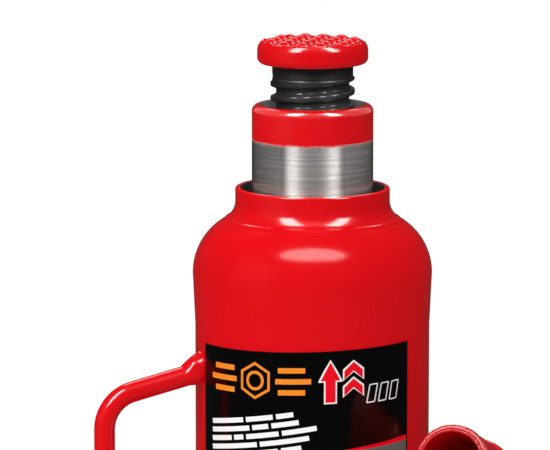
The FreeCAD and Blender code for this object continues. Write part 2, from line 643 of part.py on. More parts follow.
def link_plates():
    """Two flat links, one on each side, from the base lug to the fulcrum pin."""
    plates = []
    low, high = link_foot(), fulcrum_point()
    along = high.sub(low)
    across = vec(0, along.z, -along.y).normalize() * 7.5
    for side in (-1, 1):
        near = min(side * 11.8, side * 15.8)
        shift = vec(near, 0, 0)
        corners = [low.add(across), high.add(across), high.sub(across), low.sub(across), low.add(across)]
        strip = Part.Face(Part.makePolygon([p.add(shift) for p in corners])).extrude(vec(4.0, 0, 0))
        plate = strip
        for end in (low, high):
            plate = plate.fuse(Part.makeCylinder(7.5, 4.0, end.add(shift), ALONG_X))
        for end in (low, high):
            hole = Part.makeCylinder(PIN_RADIUS + PIN_CLEARANCE, 10.0, end.add(shift).sub(vec(3, 0, 0)), ALONG_X)
            plate = plate.cut(hole)
        plates.append(softened(plate.removeSplitter(), 1.0, 0.5))
    return Part.makeCompound(plates)


# ---- valves ----------------------------------------------------------------
def facing_front(shape, depth):
    """Turns a piece modelled upright to point out of the front face, its zero at depth from the face."""
    return moved(turned_to(shape, ALONG_X, 90), vec(VALVE_X, BASE_FRONT + depth, VALVE_Z))


def release_valve_screw():
    """Screw with a flat tab that the pump handle's slotted end turns."""
    tip = 28.0 + seated(CHECK_BALL) + CHECK_BALL + 0.05 - BASE_HALF_Y
    stem = turned((0, tip), (2.6, tip), (4.94, tip + 2.4), (4.94, 4.5), (6.8, 4.5), (6.8, 14.0), (6.0, 15.0), (0, 15.0))
    tab = block(vec(-8.0, -3.0, 12.0), vec(8.0, 3.0, 24.0))
    tab = tab.makeFillet(2.5, [e for e in tab.Edges if abs(e.tangentAt(e.FirstParameter).y) > 0.99])
    waist = ring(6, 3.6, -9.0, -6.0)
    return facing_front(stem.fuse(tab).cut(waist), 0.0)


def release_valve_o_ring():
    seal = Part.makeTorus(4.3, 0.67, vec(0, 0, -7.5))
    return facing_front(seal, 0.0)


def release_valve_gland():
    """Threaded bush that keeps the release valve screw in."""
    bush = turned((5.1, -11.5), (7.0, -11.5), (7.0, 4.0), (5.1, 4.0))
    return facing_front(bush, 0.0)


def release_ball():
    return ball(CHECK_BALL, vec(VALVE_X, -28.0 - seated(CHECK_BALL), VALVE_Z))


def set_plug(radius, length, socket):
    """Grub screw with a hexagon socket, its outer face at zero."""
    return drum(radius, -length, 0).cut(hexagon(socket, -length * 0.55, 1))


def on_right_face(shape, y, z, depth):
    """Turns a piece modelled upright to point out of the base's right face, its zero at depth."""
    return moved(turned_to(shape, ALONG_Y, 90), vec(BASE_RIGHT - depth, y, z))


def inlet_ball():
    return ball(CHECK_BALL, vec(PUMP_X, 0, INLET_FLOOR + seated(CHECK_BALL)))


def delivery_ball():
    return ball(CHECK_BALL, vec(PUMP_X, DELIVERY_Y, DELIVERY_FLOOR + seated(CHECK_BALL)))


def delivery_spring():
    low = DELIVERY_FLOOR + seated(CHECK_BALL) + CHECK_BALL + 0.35
    return coil(0.32, 2.4, vec(PUMP_X, DELIVERY_Y, low), 17.8 - low, 2.5)


def delivery_plug():
    return moved(set_plug(4.95, 5.4, 5.0), vec(PUMP_X, DELIVERY_Y, 23.6))


def overload_ball():
    return ball(RELIEF_BALL, vec(RELIEF_SEAT_X + seated(RELIEF_BALL, 1.5), RELIEF_Y, RELIEF_Z))


def overload_spring():
    depth = BASE_RIGHT - 66.0
    return on_right_face(coil(0.55, 2.7, vec(0, 0, -14.6), 14.0, 5.5), RELIEF_Y, RELIEF_Z, depth)


def overload_adjuster():
    return on_right_face(set_plug(3.55, 8.0, 3.0), RELIEF_Y, RELIEF_Z, BASE_RIGHT - 74.6)


def overload_plug():
    return on_right_face(set_plug(3.55, 6.0, 4.0), RELIEF_Y, RELIEF_Z, 0.6)


def passage_plugs():
    """Two identical plugs that close the drilled suction and pressure lines."""
    suction = on_right_face(set_plug(3.55, 6.0, 4.0), 0.0, 12.0, 0.6)
    heading = pressure_heading()
    turn = FreeCAD.Rotation(UP, heading)
    pressure = set_plug(3.55, 6.0, 4.0)
    outer_end = pressure_line()[1]
    pressure.Placement = FreeCAD.Placement(outer_end.sub(heading * 2.9), turn)
    return Part.makeCompound([suction, pressure])


# ---- seals and rings -------------------------------------------------------
def cylinder_seat_seal():
    return ring(CYLINDER_RADIUS - 0.1, CYLINDER_BORE + 1.0, CYLINDER_FLOOR, CYLINDER_FLOOR + 2.0)


def gland_o_ring():
    return Part.makeTorus(CYLINDER_BORE - 0.72, 0.66, vec(0, 0, 183.25))


def ram_o_ring():
    return Part.makeTorus(RAM_RADIUS + 0.98, 0.88, vec(0, 0, 189.3))


def ram_wiper():
    """Lip ring on top of the gland nut that keeps grit off the ram."""
    near = RAM_RADIUS + 0.1
    far = RAM_RADIUS + 2.5
    return turned((near, 195.5), (far, 195.5), (far, 200.4), (near + 1.2, 200.4), (near + 0.5, 202.2), (near, 202.2))


def piston_cup_seal():
    low = RAM_FOOT - 2.0
    return turned((CYLINDER_BORE - 3.55, low + 1.85), (CYLINDER_BORE - 0.1, low + 1.85),
                  (CYLINDER_BORE - 0.1, low + 5.0), (CYLINDER_BORE - 0.5, low + 5.35), (CYLINDER_BORE - 3.55, low + 5.35))


def piston_wear_ring():
    low = RAM_FOOT - 2.0
    band = ring(CYLINDER_BORE - 0.06, CYLINDER_BORE - 1.55, low + 7.65, low + 10.95)
    return band.cut(block(vec(0, -0.6, low), vec(40, 0.6, low + 20)))


def piston_clip():
    return retaining_ring(13.65, 16.7, RAM_FOOT + 1.65, RAM_FOOT + 3.25)


def pump_washer():
    return ring(10.9, 2.6, PUMP_FLOOR, PUMP_FLOOR + 1.5, PUMP_X, 0)


def pump_wiper():
    near, far = PUMP_BORE + 0.05, PUMP_BORE + 2.55
    low = PUMP_TOP - 3.4
    lip = turned((near, low), (far, low), (far, PUMP_TOP + 0.2), (near + 1.0, PUMP_TOP + 0.2),
                 (near + 0.4, PUMP_TOP + 1.2), (near, PUMP_TOP + 1.2))
    return moved(lip, vec(PUMP_X, 0, 0))


def plunger_pin():
    return cross_pin(14.6, plunger_pin_point())


def plunger_pin_clips():
    return pin_clips(14.6, plunger_pin_point())


def fulcrum_pin():
    return cross_pin(19.0, fulcrum_point())


def fulcrum_pin_clips():
    return pin_clips(19.0, fulcrum_point())


def link_pin():
    return cross_pin(19.0, link_foot())


def link_pin_clips():
    return pin_clips(19.0, link_foot())


# ---- files -----------------------------------------------------------------
PIECES = [
    base_casting, reservoir_tank, tank_base_weld, pressure_cylinder, cylinder_seat_seal, gland_nut, gland_o_ring,
    ram_o_ring, ram_wiper, filler_plug, rating_label, carry_handle, carry_handle_welds,
    ram, piston_head, piston_cup_seal, piston_wear_ring, piston_clip,
    extension_screw, screw_stop_washer, screw_clip, saddle,
    pump_cylinder, pump_washer, pump_wiper, pump_plunger, plunger_seal,
    rocker_yoke, handle_socket, socket_weld, plunger_pin, plunger_pin_clips, fulcrum_pin, fulcrum_pin_clips,
    link_plates, link_pin, link_pin_clips,
    release_valve_screw, release_valve_o_ring, release_valve_gland, release_ball,
    inlet_ball, delivery_ball, delivery_spring, delivery_plug,
    overload_ball, overload_spring, overload_adjuster, overload_plug, passage_plugs,
]

os.makedirs("parts", exist_ok=True)
for piece in PIECES:
    save(piece.__name__, piece())
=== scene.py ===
# %% [markdown]
# # A welded hydraulic bottle jack
# The jack is a steel tank welded to a cast base. A ground steel ram stands in the tank's neck, a black
# screw stands in the ram, and a round waffle-topped saddle sits on the screw. The measured model brings
# every piece at its real size and place. This lesson gives each piece its finish, and builds again, in
# finer mesh, the pieces that the eye rests on. The model's box is kept now, to compare at the end.

# %% Load the measured model
import json
import math
import bpy
from mathutils import Matrix, Vector, noise

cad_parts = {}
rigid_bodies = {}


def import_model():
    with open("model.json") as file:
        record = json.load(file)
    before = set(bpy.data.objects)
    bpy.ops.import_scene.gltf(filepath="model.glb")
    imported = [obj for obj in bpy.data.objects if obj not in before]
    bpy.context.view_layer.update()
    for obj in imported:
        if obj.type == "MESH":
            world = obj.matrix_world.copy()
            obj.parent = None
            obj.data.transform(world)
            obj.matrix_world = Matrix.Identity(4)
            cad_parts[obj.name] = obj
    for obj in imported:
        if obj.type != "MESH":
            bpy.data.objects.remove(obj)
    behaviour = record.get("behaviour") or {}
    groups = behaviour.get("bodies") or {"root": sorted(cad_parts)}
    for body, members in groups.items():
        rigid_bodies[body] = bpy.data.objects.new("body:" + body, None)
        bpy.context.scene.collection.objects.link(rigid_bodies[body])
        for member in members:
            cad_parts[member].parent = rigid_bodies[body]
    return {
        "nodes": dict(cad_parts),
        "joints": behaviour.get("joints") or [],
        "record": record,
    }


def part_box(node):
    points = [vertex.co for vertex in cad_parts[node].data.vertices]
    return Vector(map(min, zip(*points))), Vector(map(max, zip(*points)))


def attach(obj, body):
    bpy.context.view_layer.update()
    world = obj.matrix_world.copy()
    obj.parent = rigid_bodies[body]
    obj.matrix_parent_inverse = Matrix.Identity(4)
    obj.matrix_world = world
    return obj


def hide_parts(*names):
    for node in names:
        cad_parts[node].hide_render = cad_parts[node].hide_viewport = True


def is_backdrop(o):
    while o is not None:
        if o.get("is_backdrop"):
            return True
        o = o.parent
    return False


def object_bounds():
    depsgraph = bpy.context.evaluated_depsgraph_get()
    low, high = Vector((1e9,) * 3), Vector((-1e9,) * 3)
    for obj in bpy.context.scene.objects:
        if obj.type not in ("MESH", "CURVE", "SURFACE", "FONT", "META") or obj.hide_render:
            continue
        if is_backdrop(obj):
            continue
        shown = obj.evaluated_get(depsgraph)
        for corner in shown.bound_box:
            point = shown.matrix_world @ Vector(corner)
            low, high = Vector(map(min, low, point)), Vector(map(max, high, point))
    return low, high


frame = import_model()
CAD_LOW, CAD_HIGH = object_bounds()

MM = 0.001
print(len(frame["nodes"]), "pieces,", [round((b - a) / MM, 1) for a, b in zip(CAD_LOW, CAD_HIGH)], "mm")

# %% [markdown]
# ## Camera and light
# A small product like this is photographed from about a metre and a half with a long lens, so upright
# edges stay parallel. The camera stands a little to the right of the front and looks down by nine
# degrees. A camera could be aimed with a constraint, but a fixed rotation keeps the scene easy to read.

# %% Camera
CAMERA_AZIMUTH = math.radians(16.0)      # to the right of the front, which is -Y
CAMERA_HEIGHT_ANGLE = math.radians(9.06)
CAMERA_DISTANCE = 1.47
VIEW_WIDTH = 0.20625                     # what the picture's width shows at that distance
SENSOR = 36.0
ASIDE, BELOW = 14.06 * MM, 14.51 * MM    # from the neck's centre to the middle of the picture


def toward(azimuth, elevation):
    """Direction seen from the jack: azimuth to the right of the camera's side, elevation above level."""
    turn, level = CAMERA_AZIMUTH + azimuth, math.cos(elevation)
    return Vector((math.sin(turn) * level, -math.cos(turn) * level, math.sin(elevation)))


def aimed(thing, place, target):
    """Puts a camera or a light at a place and points it at a target."""
    thing.location = place
    thing.rotation_euler = (target - place).to_track_quat("-Z", "Y").to_euler()


neck_top = Vector((0, 0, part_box("reservoir_tank")[1].z))
back = toward(0.0, CAMERA_HEIGHT_ANGLE)
right = toward(math.pi / 2, 0.0)
above = back.cross(right)
middle = neck_top - right * ASIDE - above * BELOW
camera = bpy.data.objects.new("camera", bpy.data.cameras.new("camera"))
camera.data.sensor_width = SENSOR
camera.data.lens = SENSOR * CAMERA_DISTANCE / VIEW_WIDTH
camera.data.clip_start, camera.data.clip_end = 0.1, 20.0
aimed(camera, middle + back * CAMERA_DISTANCE, middle)
bpy.context.collection.objects.link(camera)
bpy.context.scene.camera = camera
print("camera at", [round(v, 3) for v in camera.location], "lens", round(camera.data.lens, 1))

# %% [markdown]
# Two round lamps hang in one place in front. One shows only in gloss and draws the wide oval on the
# tank's shoulder, and the other gives the broad soft light and shows in no gloss. Two strip lights on
# the left and the right draw the pairs of small highlights on the rounded edges. Each is kept off the
# pieces that should not mirror it, as a studio does with black cards: a list at the end says what each
# light's gloss reaches. The ground steel has grey cards and two strips of its own, because it would
# otherwise mirror only the dark room. The room could be built from white cards, but a plain world does
# the same: white behind the jack, mid grey for the light that fills the shadows, and dark where a
# glossy surface would mirror it.

# %% Lights
LIT_POINT = Vector((0, 0, 0.15))         # a little above the middle of the tank


def softbox(name, azimuth, elevation, distance, width, height, power, shape="RECTANGLE"):
    """Area light that faces the middle of the jack. Angles are in degrees from the camera's side."""
    lamp = bpy.data.lights.new(name, "AREA")
    lamp.shape, lamp.size, lamp.size_y, lamp.energy = shape, width, height, power
    place = LIT_POINT + toward(math.radians(azimuth), math.radians(elevation)) * distance
    thing = bpy.data.objects.new(name, lamp)
    aimed(thing, place, LIT_POINT)
    bpy.context.collection.objects.link(thing)
    return thing


left_strip = softbox("left_strip", -41, 48, 1.3, 0.42, 0.9, 23)
right_strip = softbox("right_strip", 49, 48, 1.3, 0.36, 0.9, 21)
steel_cards = [softbox("steel_card_front", 0, 35, 1.2, 3.4, 1.6, 15)]
for side in (-1, 1):
    steel_cards.append(softbox("steel_card_side", 105 * side, 35, 1.2, 2.4, 1.6, 10))
    steel_cards.append(softbox("steel_strip", 44 * side, 48, 1.3, 0.40, 0.9, 40))
shoulder_oval = softbox("shoulder_oval", 0, 60, 1.6, 1.5, 0.7, 15, "ELLIPSE")
softbox("front_softbox", 0, 60, 1.6, 1.5, 0.7, 19, "ELLIPSE").visible_glossy = False
softbox("rear_softbox", 180, 50, 1.6, 1.2, 0.6, 8)
softbox("left_card", -60, 12, 1.6, 1.2, 1.2, 8).visible_glossy = False
for lamp in (left_strip, right_strip, shoulder_oval, *steel_cards):
    lamp.visible_diffuse = False

# %% World
ROOM_WHITE, ROOM_FILL, ROOM_MIRRORED = 1.0, 0.45, 0.035


def add(tree, kind, inputs=None, **settings):
    """Adds one node. An input is a value, or a (node, output) pair to link from."""
    made = tree.nodes.new(kind)
    for name, value in settings.items():
        setattr(made, name, value)
    for name, value in (inputs or {}).items():
        if isinstance(value, tuple) and isinstance(value[0], bpy.types.Node):
            tree.links.new(value[0].outputs[value[1]], made.inputs[name])
        else:
            made.inputs[name].default_value = value
    return made


def grey(value):
    return (value, value, value, 1.0)


world = bpy.data.worlds.new("studio")
bpy.context.scene.world = world
world.use_nodes = True
tree = world.node_tree
tree.nodes.clear()
ray = add(tree, "ShaderNodeLightPath")
by_ray = {0: (ray, "Is Diffuse Ray"), 6: grey(ROOM_MIRRORED), 7: grey(ROOM_FILL)}
room = add(tree, "ShaderNodeMix", by_ray, data_type="RGBA")
by_camera = {0: (ray, "Is Camera Ray"), 6: (room, 2), 7: grey(ROOM_WHITE)}
seen = add(tree, "ShaderNodeMix", by_camera, data_type="RGBA")
lit = add(tree, "ShaderNodeBackground", {"Color": (seen, 2), "Strength": 1.0})
add(tree, "ShaderNodeOutputWorld", {"Surface": (lit, "Background")})
bpy.context.scene.view_settings.view_transform = "Standard"
print("world of", len(tree.nodes), "nodes")
# %% [markdown]
# ## Finishes
# Every finish starts from the real one: what it is, how its surface was made, and what that gives the eye.
# Colours are written as sRGB hex, the way a paint chart gives them, and one function turns them to the
# linear values that light adds up in. Pattern sizes are written in millimetres, and every piece's own
# coordinates are metres, so a pattern is the same size on every piece.

# %% Helpers for finishes
def colour(code):
    """Linear colour of an sRGB hex code."""
    parts = [int(code[i:i + 2], 16) / 255 for i in (0, 2, 4)]
    return tuple(c / 12.92 if c <= 0.04045 else ((c + 0.055) / 1.055) ** 2.4 for c in parts) + (1.0,)


def finish(name, code, metallic, roughness, ior=1.5):
    """New material with one Principled shader and its plain values, and the place it is looked up by."""
    made = bpy.data.materials.new(name)
    made.use_nodes = True
    tree = made.node_tree
    tree.nodes.clear()
    values = {"Base Color": colour(code), "Metallic": metallic, "Roughness": roughness, "IOR": ior}
    shader = add(tree, "ShaderNodeBsdfPrincipled", values)
    add(tree, "ShaderNodeOutputMaterial", {"Surface": (shader, "BSDF")})
    place = add(tree, "ShaderNodeTexCoord")
    return made, tree, shader, place


def grains(tree, place, size, detail=2.0, **settings):
    """Noise whose lumps are about size millimetres across."""
    inputs = {"Vector": (place, "Object"), "Scale": 1 / (size * MM), "Detail": detail}
    return add(tree, "ShaderNodeTexNoise", inputs, **settings)


def relief(tree, shader, height, depth, under=None):
    """Bump of a depth in millimetres, on top of another bump if there is one."""
    inputs = {"Height": height, "Distance": depth * MM, "Strength": 1.0}
    if under:
        inputs["Normal"] = (under, "Normal")
    bump = add(tree, "ShaderNodeBump", inputs)
    tree.links.new(bump.outputs["Normal"], shader.inputs["Normal"])
    return bump


def shades(tree, shader, socket, factor, low, high):
    """Lets a pattern run a shader's socket between two numbers or two hex colours."""
    if isinstance(low, str):
        mixed = add(tree, "ShaderNodeMix", {0: factor, 6: colour(low), 7: colour(high)}, data_type="RGBA")
        tree.links.new(mixed.outputs[2], shader.inputs[socket])
    else:
        ranged = add(tree, "ShaderNodeMapRange", {"Value": factor, "To Min": low, "To Max": high})
        tree.links.new(ranged.outputs["Result"], shader.inputs[socket])


# %% [markdown]
# **Sprayed red enamel** on the tank, handle and saddle is a thick stoving paint. It levels out glossy, but
# keeps a fine orange peel about a millimetre across, which frays the edges of every highlight. Its
# colour hardly varies: only a slow drift where the coat is thinner.

# %% Red enamel
red_enamel, tree, shader, place = finish("sprayed_red_enamel", "DB0410", 0.0, 0.16)
peel = grains(tree, place, 1.3, 1.0)
waves = grains(tree, place, 9.0, 1.0)
coat = grains(tree, place, 30.0, 2.0)
slow = relief(tree, shader, (waves, "Fac"), 0.05)
relief(tree, shader, (peel, "Fac"), 0.012, slow)
shades(tree, shader, "Base Color", (coat, "Fac"), "D4030F", "E00512")
shades(tree, shader, "Roughness", (peel, "Fac"), 0.12, 0.20)

# %% [markdown]
# **Red enamel on cast iron**: the base is sand cast, and the same paint only softens the sand's grain.
# The grain is about a millimetre across, and the gloss is lower because the surface is never flat.

# %% Red enamel on cast iron
cast_enamel, tree, shader, place = finish("red_enamel_on_cast_iron", "CF040F", 0.0, 0.3)
sand = grains(tree, place, 0.9, 4.0)
lumps = grains(tree, place, 5.0, 2.0)
slow = relief(tree, shader, (lumps, "Fac"), 0.5)
relief(tree, shader, (sand, "Fac"), 0.16, slow)
shades(tree, shader, "Base Color", (lumps, "Fac"), "B8030D", "DA0511")
shades(tree, shader, "Roughness", (sand, "Fac"), 0.22, 0.42)

# %% [markdown]
# **Ground steel**: the ram is centreless ground, so its scratches run round it and every highlight is
# pulled out along its height. The shader's anisotropy does that, turned a quarter against the tangent that
# runs round the axis. Bands of slightly different grind show as faint rings, about 0.4 mm apart and drawn
# twice as coarse here so that they show.

# %% Ground steel
RING_SPACING = 0.8                       # twice the real 0.4 mm
ROUND_SCALE = 30.0                       # noise per metre along a ring, so that it hardly changes there


def rings(tree, place, spacing):
    """Noise squeezed flat, so that it runs in rings round the upright axis."""
    squeeze = (ROUND_SCALE, ROUND_SCALE, 1 / (spacing * MM))
    flat = add(tree, "ShaderNodeMapping", {"Vector": (place, "Object"), "Scale": squeeze})
    return add(tree, "ShaderNodeTexNoise", {"Vector": (flat, "Vector"), "Scale": 1.0, "Detail": 3.0})


ground_steel, tree, shader, place = finish("centreless_ground_steel", "CBC7C4", 1.0, 0.26)
shader.inputs["Anisotropic"].default_value = 0.85
shader.inputs["Anisotropic Rotation"].default_value = 0.25
round_axis = add(tree, "ShaderNodeTangent", direction_type="RADIAL", axis="Z")
tree.links.new(round_axis.outputs["Tangent"], shader.inputs["Tangent"])
grind = rings(tree, place, RING_SPACING)
relief(tree, shader, (grind, "Fac"), 0.004)
shades(tree, shader, "Base Color", (grind, "Fac"), "C6C2BF", "E6E2DF")
shades(tree, shader, "Roughness", (grind, "Fac"), 0.19, 0.28)

# %% [markdown]
# **Black oxide** on the extension screw and the gland nut is a thin, oiled coat of magnetite. That mineral
# bends light strongly (IOR 2), so it is nearly black with a broad silky sheen, browner where the oil
# has dried.

# %% Black oxide
black_oxide, tree, shader, place = finish("oiled_black_oxide", "151414", 0.0, 0.42, 2.0)
oil = grains(tree, place, 3.0, 3.0)
tooth = grains(tree, place, 0.25, 2.0)
relief(tree, shader, (tooth, "Fac"), 0.01)
shades(tree, shader, "Base Color", (oil, "Fac"), "0A0A0A", "181615")
shades(tree, shader, "Roughness", (oil, "Fac"), 0.36, 0.5)

# %% [markdown]
# **Turned steel** (cylinder, piston, plunger) keeps the lathe's fine rings. **Zinc plate** on pins,
# plates and plugs is bluish and spangled in patches of a few millimetres. **Spring steel** is
# darker, drawn wire.

# %% Turned steel, zinc plate and spring steel
turned_steel, tree, shader, place = finish("turned_steel", "9C9B99", 1.0, 0.28)
lathe_marks = rings(tree, place, 0.5)
relief(tree, shader, (lathe_marks, "Fac"), 0.01)
shades(tree, shader, "Base Color", (lathe_marks, "Fac"), "868584", "AFAEAC")
shades(tree, shader, "Roughness", (lathe_marks, "Fac"), 0.22, 0.36)

zinc_plate, tree, shader, place = finish("zinc_plate", "B4B8BC", 1.0, 0.35)
spangle = add(tree, "ShaderNodeTexVoronoi", {"Vector": (place, "Object"), "Scale": 1 / (2.5 * MM)})
haze = grains(tree, place, 0.6, 3.0)
relief(tree, shader, (haze, "Fac"), 0.01)
shades(tree, shader, "Base Color", (spangle, "Distance"), "A7ACB2", "C6C9CC")
shades(tree, shader, "Roughness", (haze, "Fac"), 0.26, 0.46)

spring_steel, tree, shader, place = finish("drawn_spring_steel", "6E6C69", 1.0, 0.3)
draw_marks = grains(tree, place, 0.4, 3.0)
relief(tree, shader, (draw_marks, "Fac"), 0.006)
shades(tree, shader, "Base Color", (draw_marks, "Fac"), "55534F", "86837F")
shades(tree, shader, "Roughness", (draw_marks, "Fac"), 0.24, 0.4)

# %% [markdown]
# **Ball bearing steel** is lapped to a mirror, with only faint lapping haze. **Hard chrome** is used where
# the record asks for chrome. **Copper** seals are soft, and dull in patches.

# %% Ball steel, chrome and copper
ball_steel, tree, shader, place = finish("lapped_ball_steel", "C9CACC", 1.0, 0.06)
lap = grains(tree, place, 0.3, 2.0)
shades(tree, shader, "Roughness", (lap, "Fac"), 0.04, 0.1)
shades(tree, shader, "Base Color", (lap, "Fac"), "C2C3C6", "D2D3D5")

chrome, tree, shader, place = finish("hard_chrome", "C8CACD", 1.0, 0.1)
plating = grains(tree, place, 2.0, 3.0)
shades(tree, shader, "Roughness", (plating, "Fac"), 0.07, 0.15)
shades(tree, shader, "Base Color", (plating, "Fac"), "BFC2C6", "D2D4D6")

copper, tree, shader, place = finish("soft_copper", "B5704A", 1.0, 0.35)
tarnish = grains(tree, place, 1.5, 3.0)
shades(tree, shader, "Base Color", (tarnish, "Fac"), "8F5436", "C98059")
shades(tree, shader, "Roughness", (tarnish, "Fac"), 0.28, 0.5)

# %% [markdown]
# **Nitrile rubber** seals and the filler plug are moulded, matt, and pick up dust as a greyer bloom.
# **Nylon** seals are off-white and slightly translucent, and take their gloss from the mould.

# %% Rubber and nylon
rubber, tree, shader, place = finish("moulded_nitrile_rubber", "1D1C1B", 0.0, 0.55, 1.52)
bloom = grains(tree, place, 2.0, 4.0)
skin = grains(tree, place, 0.2, 2.0)
relief(tree, shader, (skin, "Fac"), 0.01)
shades(tree, shader, "Base Color", (bloom, "Fac"), "161514", "2C2A28")
shades(tree, shader, "Roughness", (bloom, "Fac"), 0.45, 0.68)

nylon, tree, shader, place = finish("moulded_nylon", "DCD8C8", 0.0, 0.4, 1.53)
shader.inputs["Subsurface Weight"].default_value = 0.15
shader.inputs["Subsurface Radius"].default_value = (1.2 * MM, 1.0 * MM, 0.7 * MM)
flow = grains(tree, place, 3.0, 2.0)
shades(tree, shader, "Base Color", (flow, "Fac"), "D2CDBB", "E4E0D2")
shades(tree, shader, "Roughness", (flow, "Fac"), 0.32, 0.48)

# %% [markdown]
# **Printed vinyl**: the rating label is a gloss black film with white, orange and red inks under a clear
# laminate. The laminate gives a smooth gloss that follows every small ripple of the glue below it.

# %% Label film and inks
def vinyl(name, dark, light):
    """Gloss film or ink under the laminate: one colour with a faint screen-print mottle."""
    made, tree, shader, place = finish(name, light, 0.0, 0.14)
    ripple = grains(tree, place, 6.0, 1.0)
    mottle = grains(tree, place, 0.35, 2.0)
    relief(tree, shader, (ripple, "Fac"), 0.02)
    shades(tree, shader, "Base Color", (mottle, "Fac"), dark, light)
    shades(tree, shader, "Roughness", (mottle, "Fac"), 0.11, 0.2)
    return made


label_film = vinyl("black_vinyl_film", "020202", "060606")
white_ink = vinyl("white_ink", "ECECEC", "FAFAFA")
orange_ink = vinyl("orange_ink", "EE8420", "F8902A")
red_ink = vinyl("red_ink", "E8041C", "F20A22")
green_ink = vinyl("grey_green_ink", "56605A", "626C66")
print(len(bpy.data.materials), "materials")

# %% [markdown]
# Each measured piece names its material slot in the record. One table turns a slot into a finish, so a
# new piece in the record gets its finish with no new code.

# %% Finishes of the measured pieces
FINISH_OF = {
    "red_paint": red_enamel, "cast_red_paint": cast_enamel, "ground_steel": ground_steel,
    "machined_steel": turned_steel, "black_steel": black_oxide, "zinc_steel": zinc_plate,
    "spring_steel": spring_steel, "ball_steel": ball_steel, "chrome": chrome, "rubber": rubber,
    "nylon": nylon, "copper": copper, "label_film": label_film,
}
for part in frame["record"]["subparts"]:
    thing = frame["nodes"][part["node"]]
    thing.data.materials.clear()
    thing.data.materials.append(FINISH_OF[part["material_slot"]])
# %% [markdown]
# ## Pieces built again in fine mesh
# Most pieces of a jack are turned, so most are one outline swept round an axis: a lathe. Blender's Screw
# modifier could do it, but a lathe in mesh code lets a second function move points afterwards, for the
# waffle, the thread or a weld's ripples. Sizes are in millimetres here and turn to metres in one place.

# %% Helpers for pieces
def made(name, points, faces, body, slot, *materials, sharp=38.0):
    """New smooth piece from points in millimetres, on a body, with the given finishes; the slot argument is
    not used.
    """
    mesh = bpy.data.meshes.new(name)
    mesh.from_pydata([tuple(c * MM for c in point) for point in points], [], faces)
    mesh.shade_smooth()
    mesh.set_sharp_from_angle(angle=math.radians(sharp))
    for material in materials:
        mesh.materials.append(material)
    thing = bpy.data.objects.new(name, mesh)
    bpy.context.collection.objects.link(thing)
    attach(thing, body)
    print(name, len(faces), "faces")
    return thing


def arc(centre, radius, start, end, step=5.0):
    """Points (r, z) on an arc, angles in degrees, 0 outward and 90 up."""
    count = max(2, math.ceil(abs(end - start) / step))
    angles = [math.radians(start + (end - start) * k / count) for k in range(count + 1)]
    return [(centre[0] + radius * math.cos(a), centre[1] + radius * math.sin(a)) for a in angles]


def run(start, end, step):
    """Points between two outline points, no further apart than step, without the first."""
    count = max(1, math.ceil(math.dist(start, end) / step))
    return [tuple(a + (b - a) * k / count for a, b in zip(start, end)) for k in range(1, count + 1)]


def lathe(outline, sides, shaped=None):
    """Points and faces of a closed outline (r, z) turned round Z. A point with r = 0 becomes a pole."""
    points, rows = [], []
    for r, z in outline:
        count = 1 if r == 0 else sides
        rows.append(range(len(points), len(points) + count))
        for k in range(count):
            angle = 2 * math.pi * k / sides
            point = (r * math.cos(angle), r * math.sin(angle), z)
            points.append(shaped(*point) if shaped else point)
    faces = []
    for low, high in zip(rows, rows[1:] + rows[:1]):
        for k in range(sides):
            after = (k + 1) % sides
            if len(low) > 1 and len(high) > 1:
                faces.append((low[k], low[after], high[after], high[k]))
            elif len(low) > 1:
                faces.append((low[k], low[after], high[0]))
            elif len(high) > 1:
                faces.append((low[0], high[after], high[k]))
    return points, faces


def repaint(thing, index, wanted):
    """Gives the faces whose middle (r, z) in millimetres passes a test another of the piece's materials."""
    count = 0
    for face in thing.data.polygons:
        r, z = math.hypot(face.center.x, face.center.y) / MM, face.center.z / MM
        if wanted(r, z):
            face.material_index = index
            count += 1
    print(thing.name, count, "faces repainted")


def smoothstep(low, high, value):
    t = min(1.0, max(0.0, (value - low) / (high - low)))
    return t * t * (3 - 2 * t)


# %% [markdown]
# **The tank** is a tube whose end was spun into a shoulder and a neck. Spinning leaves a faint ridge where
# the throat's curve meets the dome, and it draws a thin line of light. The dome is an arc of 23 mm
# and the throat one of 8 mm, and 256 sides keep the outline round at any zoom. The shell and the neck
# are two pieces that meet at the ridge, so that the strip lights can be kept off the shell.

# %% Tank
TANK_SEAT, TANK_TOP = 36.0, 207.0
TANK_RADIUS, SWAGE_FOOT, DOME_FOOT, SHOULDER_RADIUS = 44.1, 155.0, 174.6, 45.0
DOME, THROAT, BEND = 23.0, 8.0, 55.0
NECK_RADIUS, THROAT_TOP, NECK_BORE, LIP = 29.0, 201.9, 27.1, 0.9
RIDGE_R, RIDGE_Z, RIDGE_HEIGHT, RIDGE_WIDTH = 32.6, 195.2, 0.22, 0.75
WALL = 3.6


def spun_ridge(x, y, z):
    """Raises the ridge that the spinning roller leaves, and the faint waves of a spun surface."""
    r = math.hypot(x, y)
    near = math.exp(-((r - RIDGE_R) ** 2 + (z - RIDGE_Z) ** 2) / RIDGE_WIDTH ** 2)
    wave = 0.03 * noise.noise(Vector((x, y, z)) / 18.0) if r > NECK_BORE + 0.5 else 0.0
    grown = 1 + (RIDGE_HEIGHT * near * 0.7 + wave) / r
    return x * grown, y * grown, z + RIDGE_HEIGHT * near * 0.7


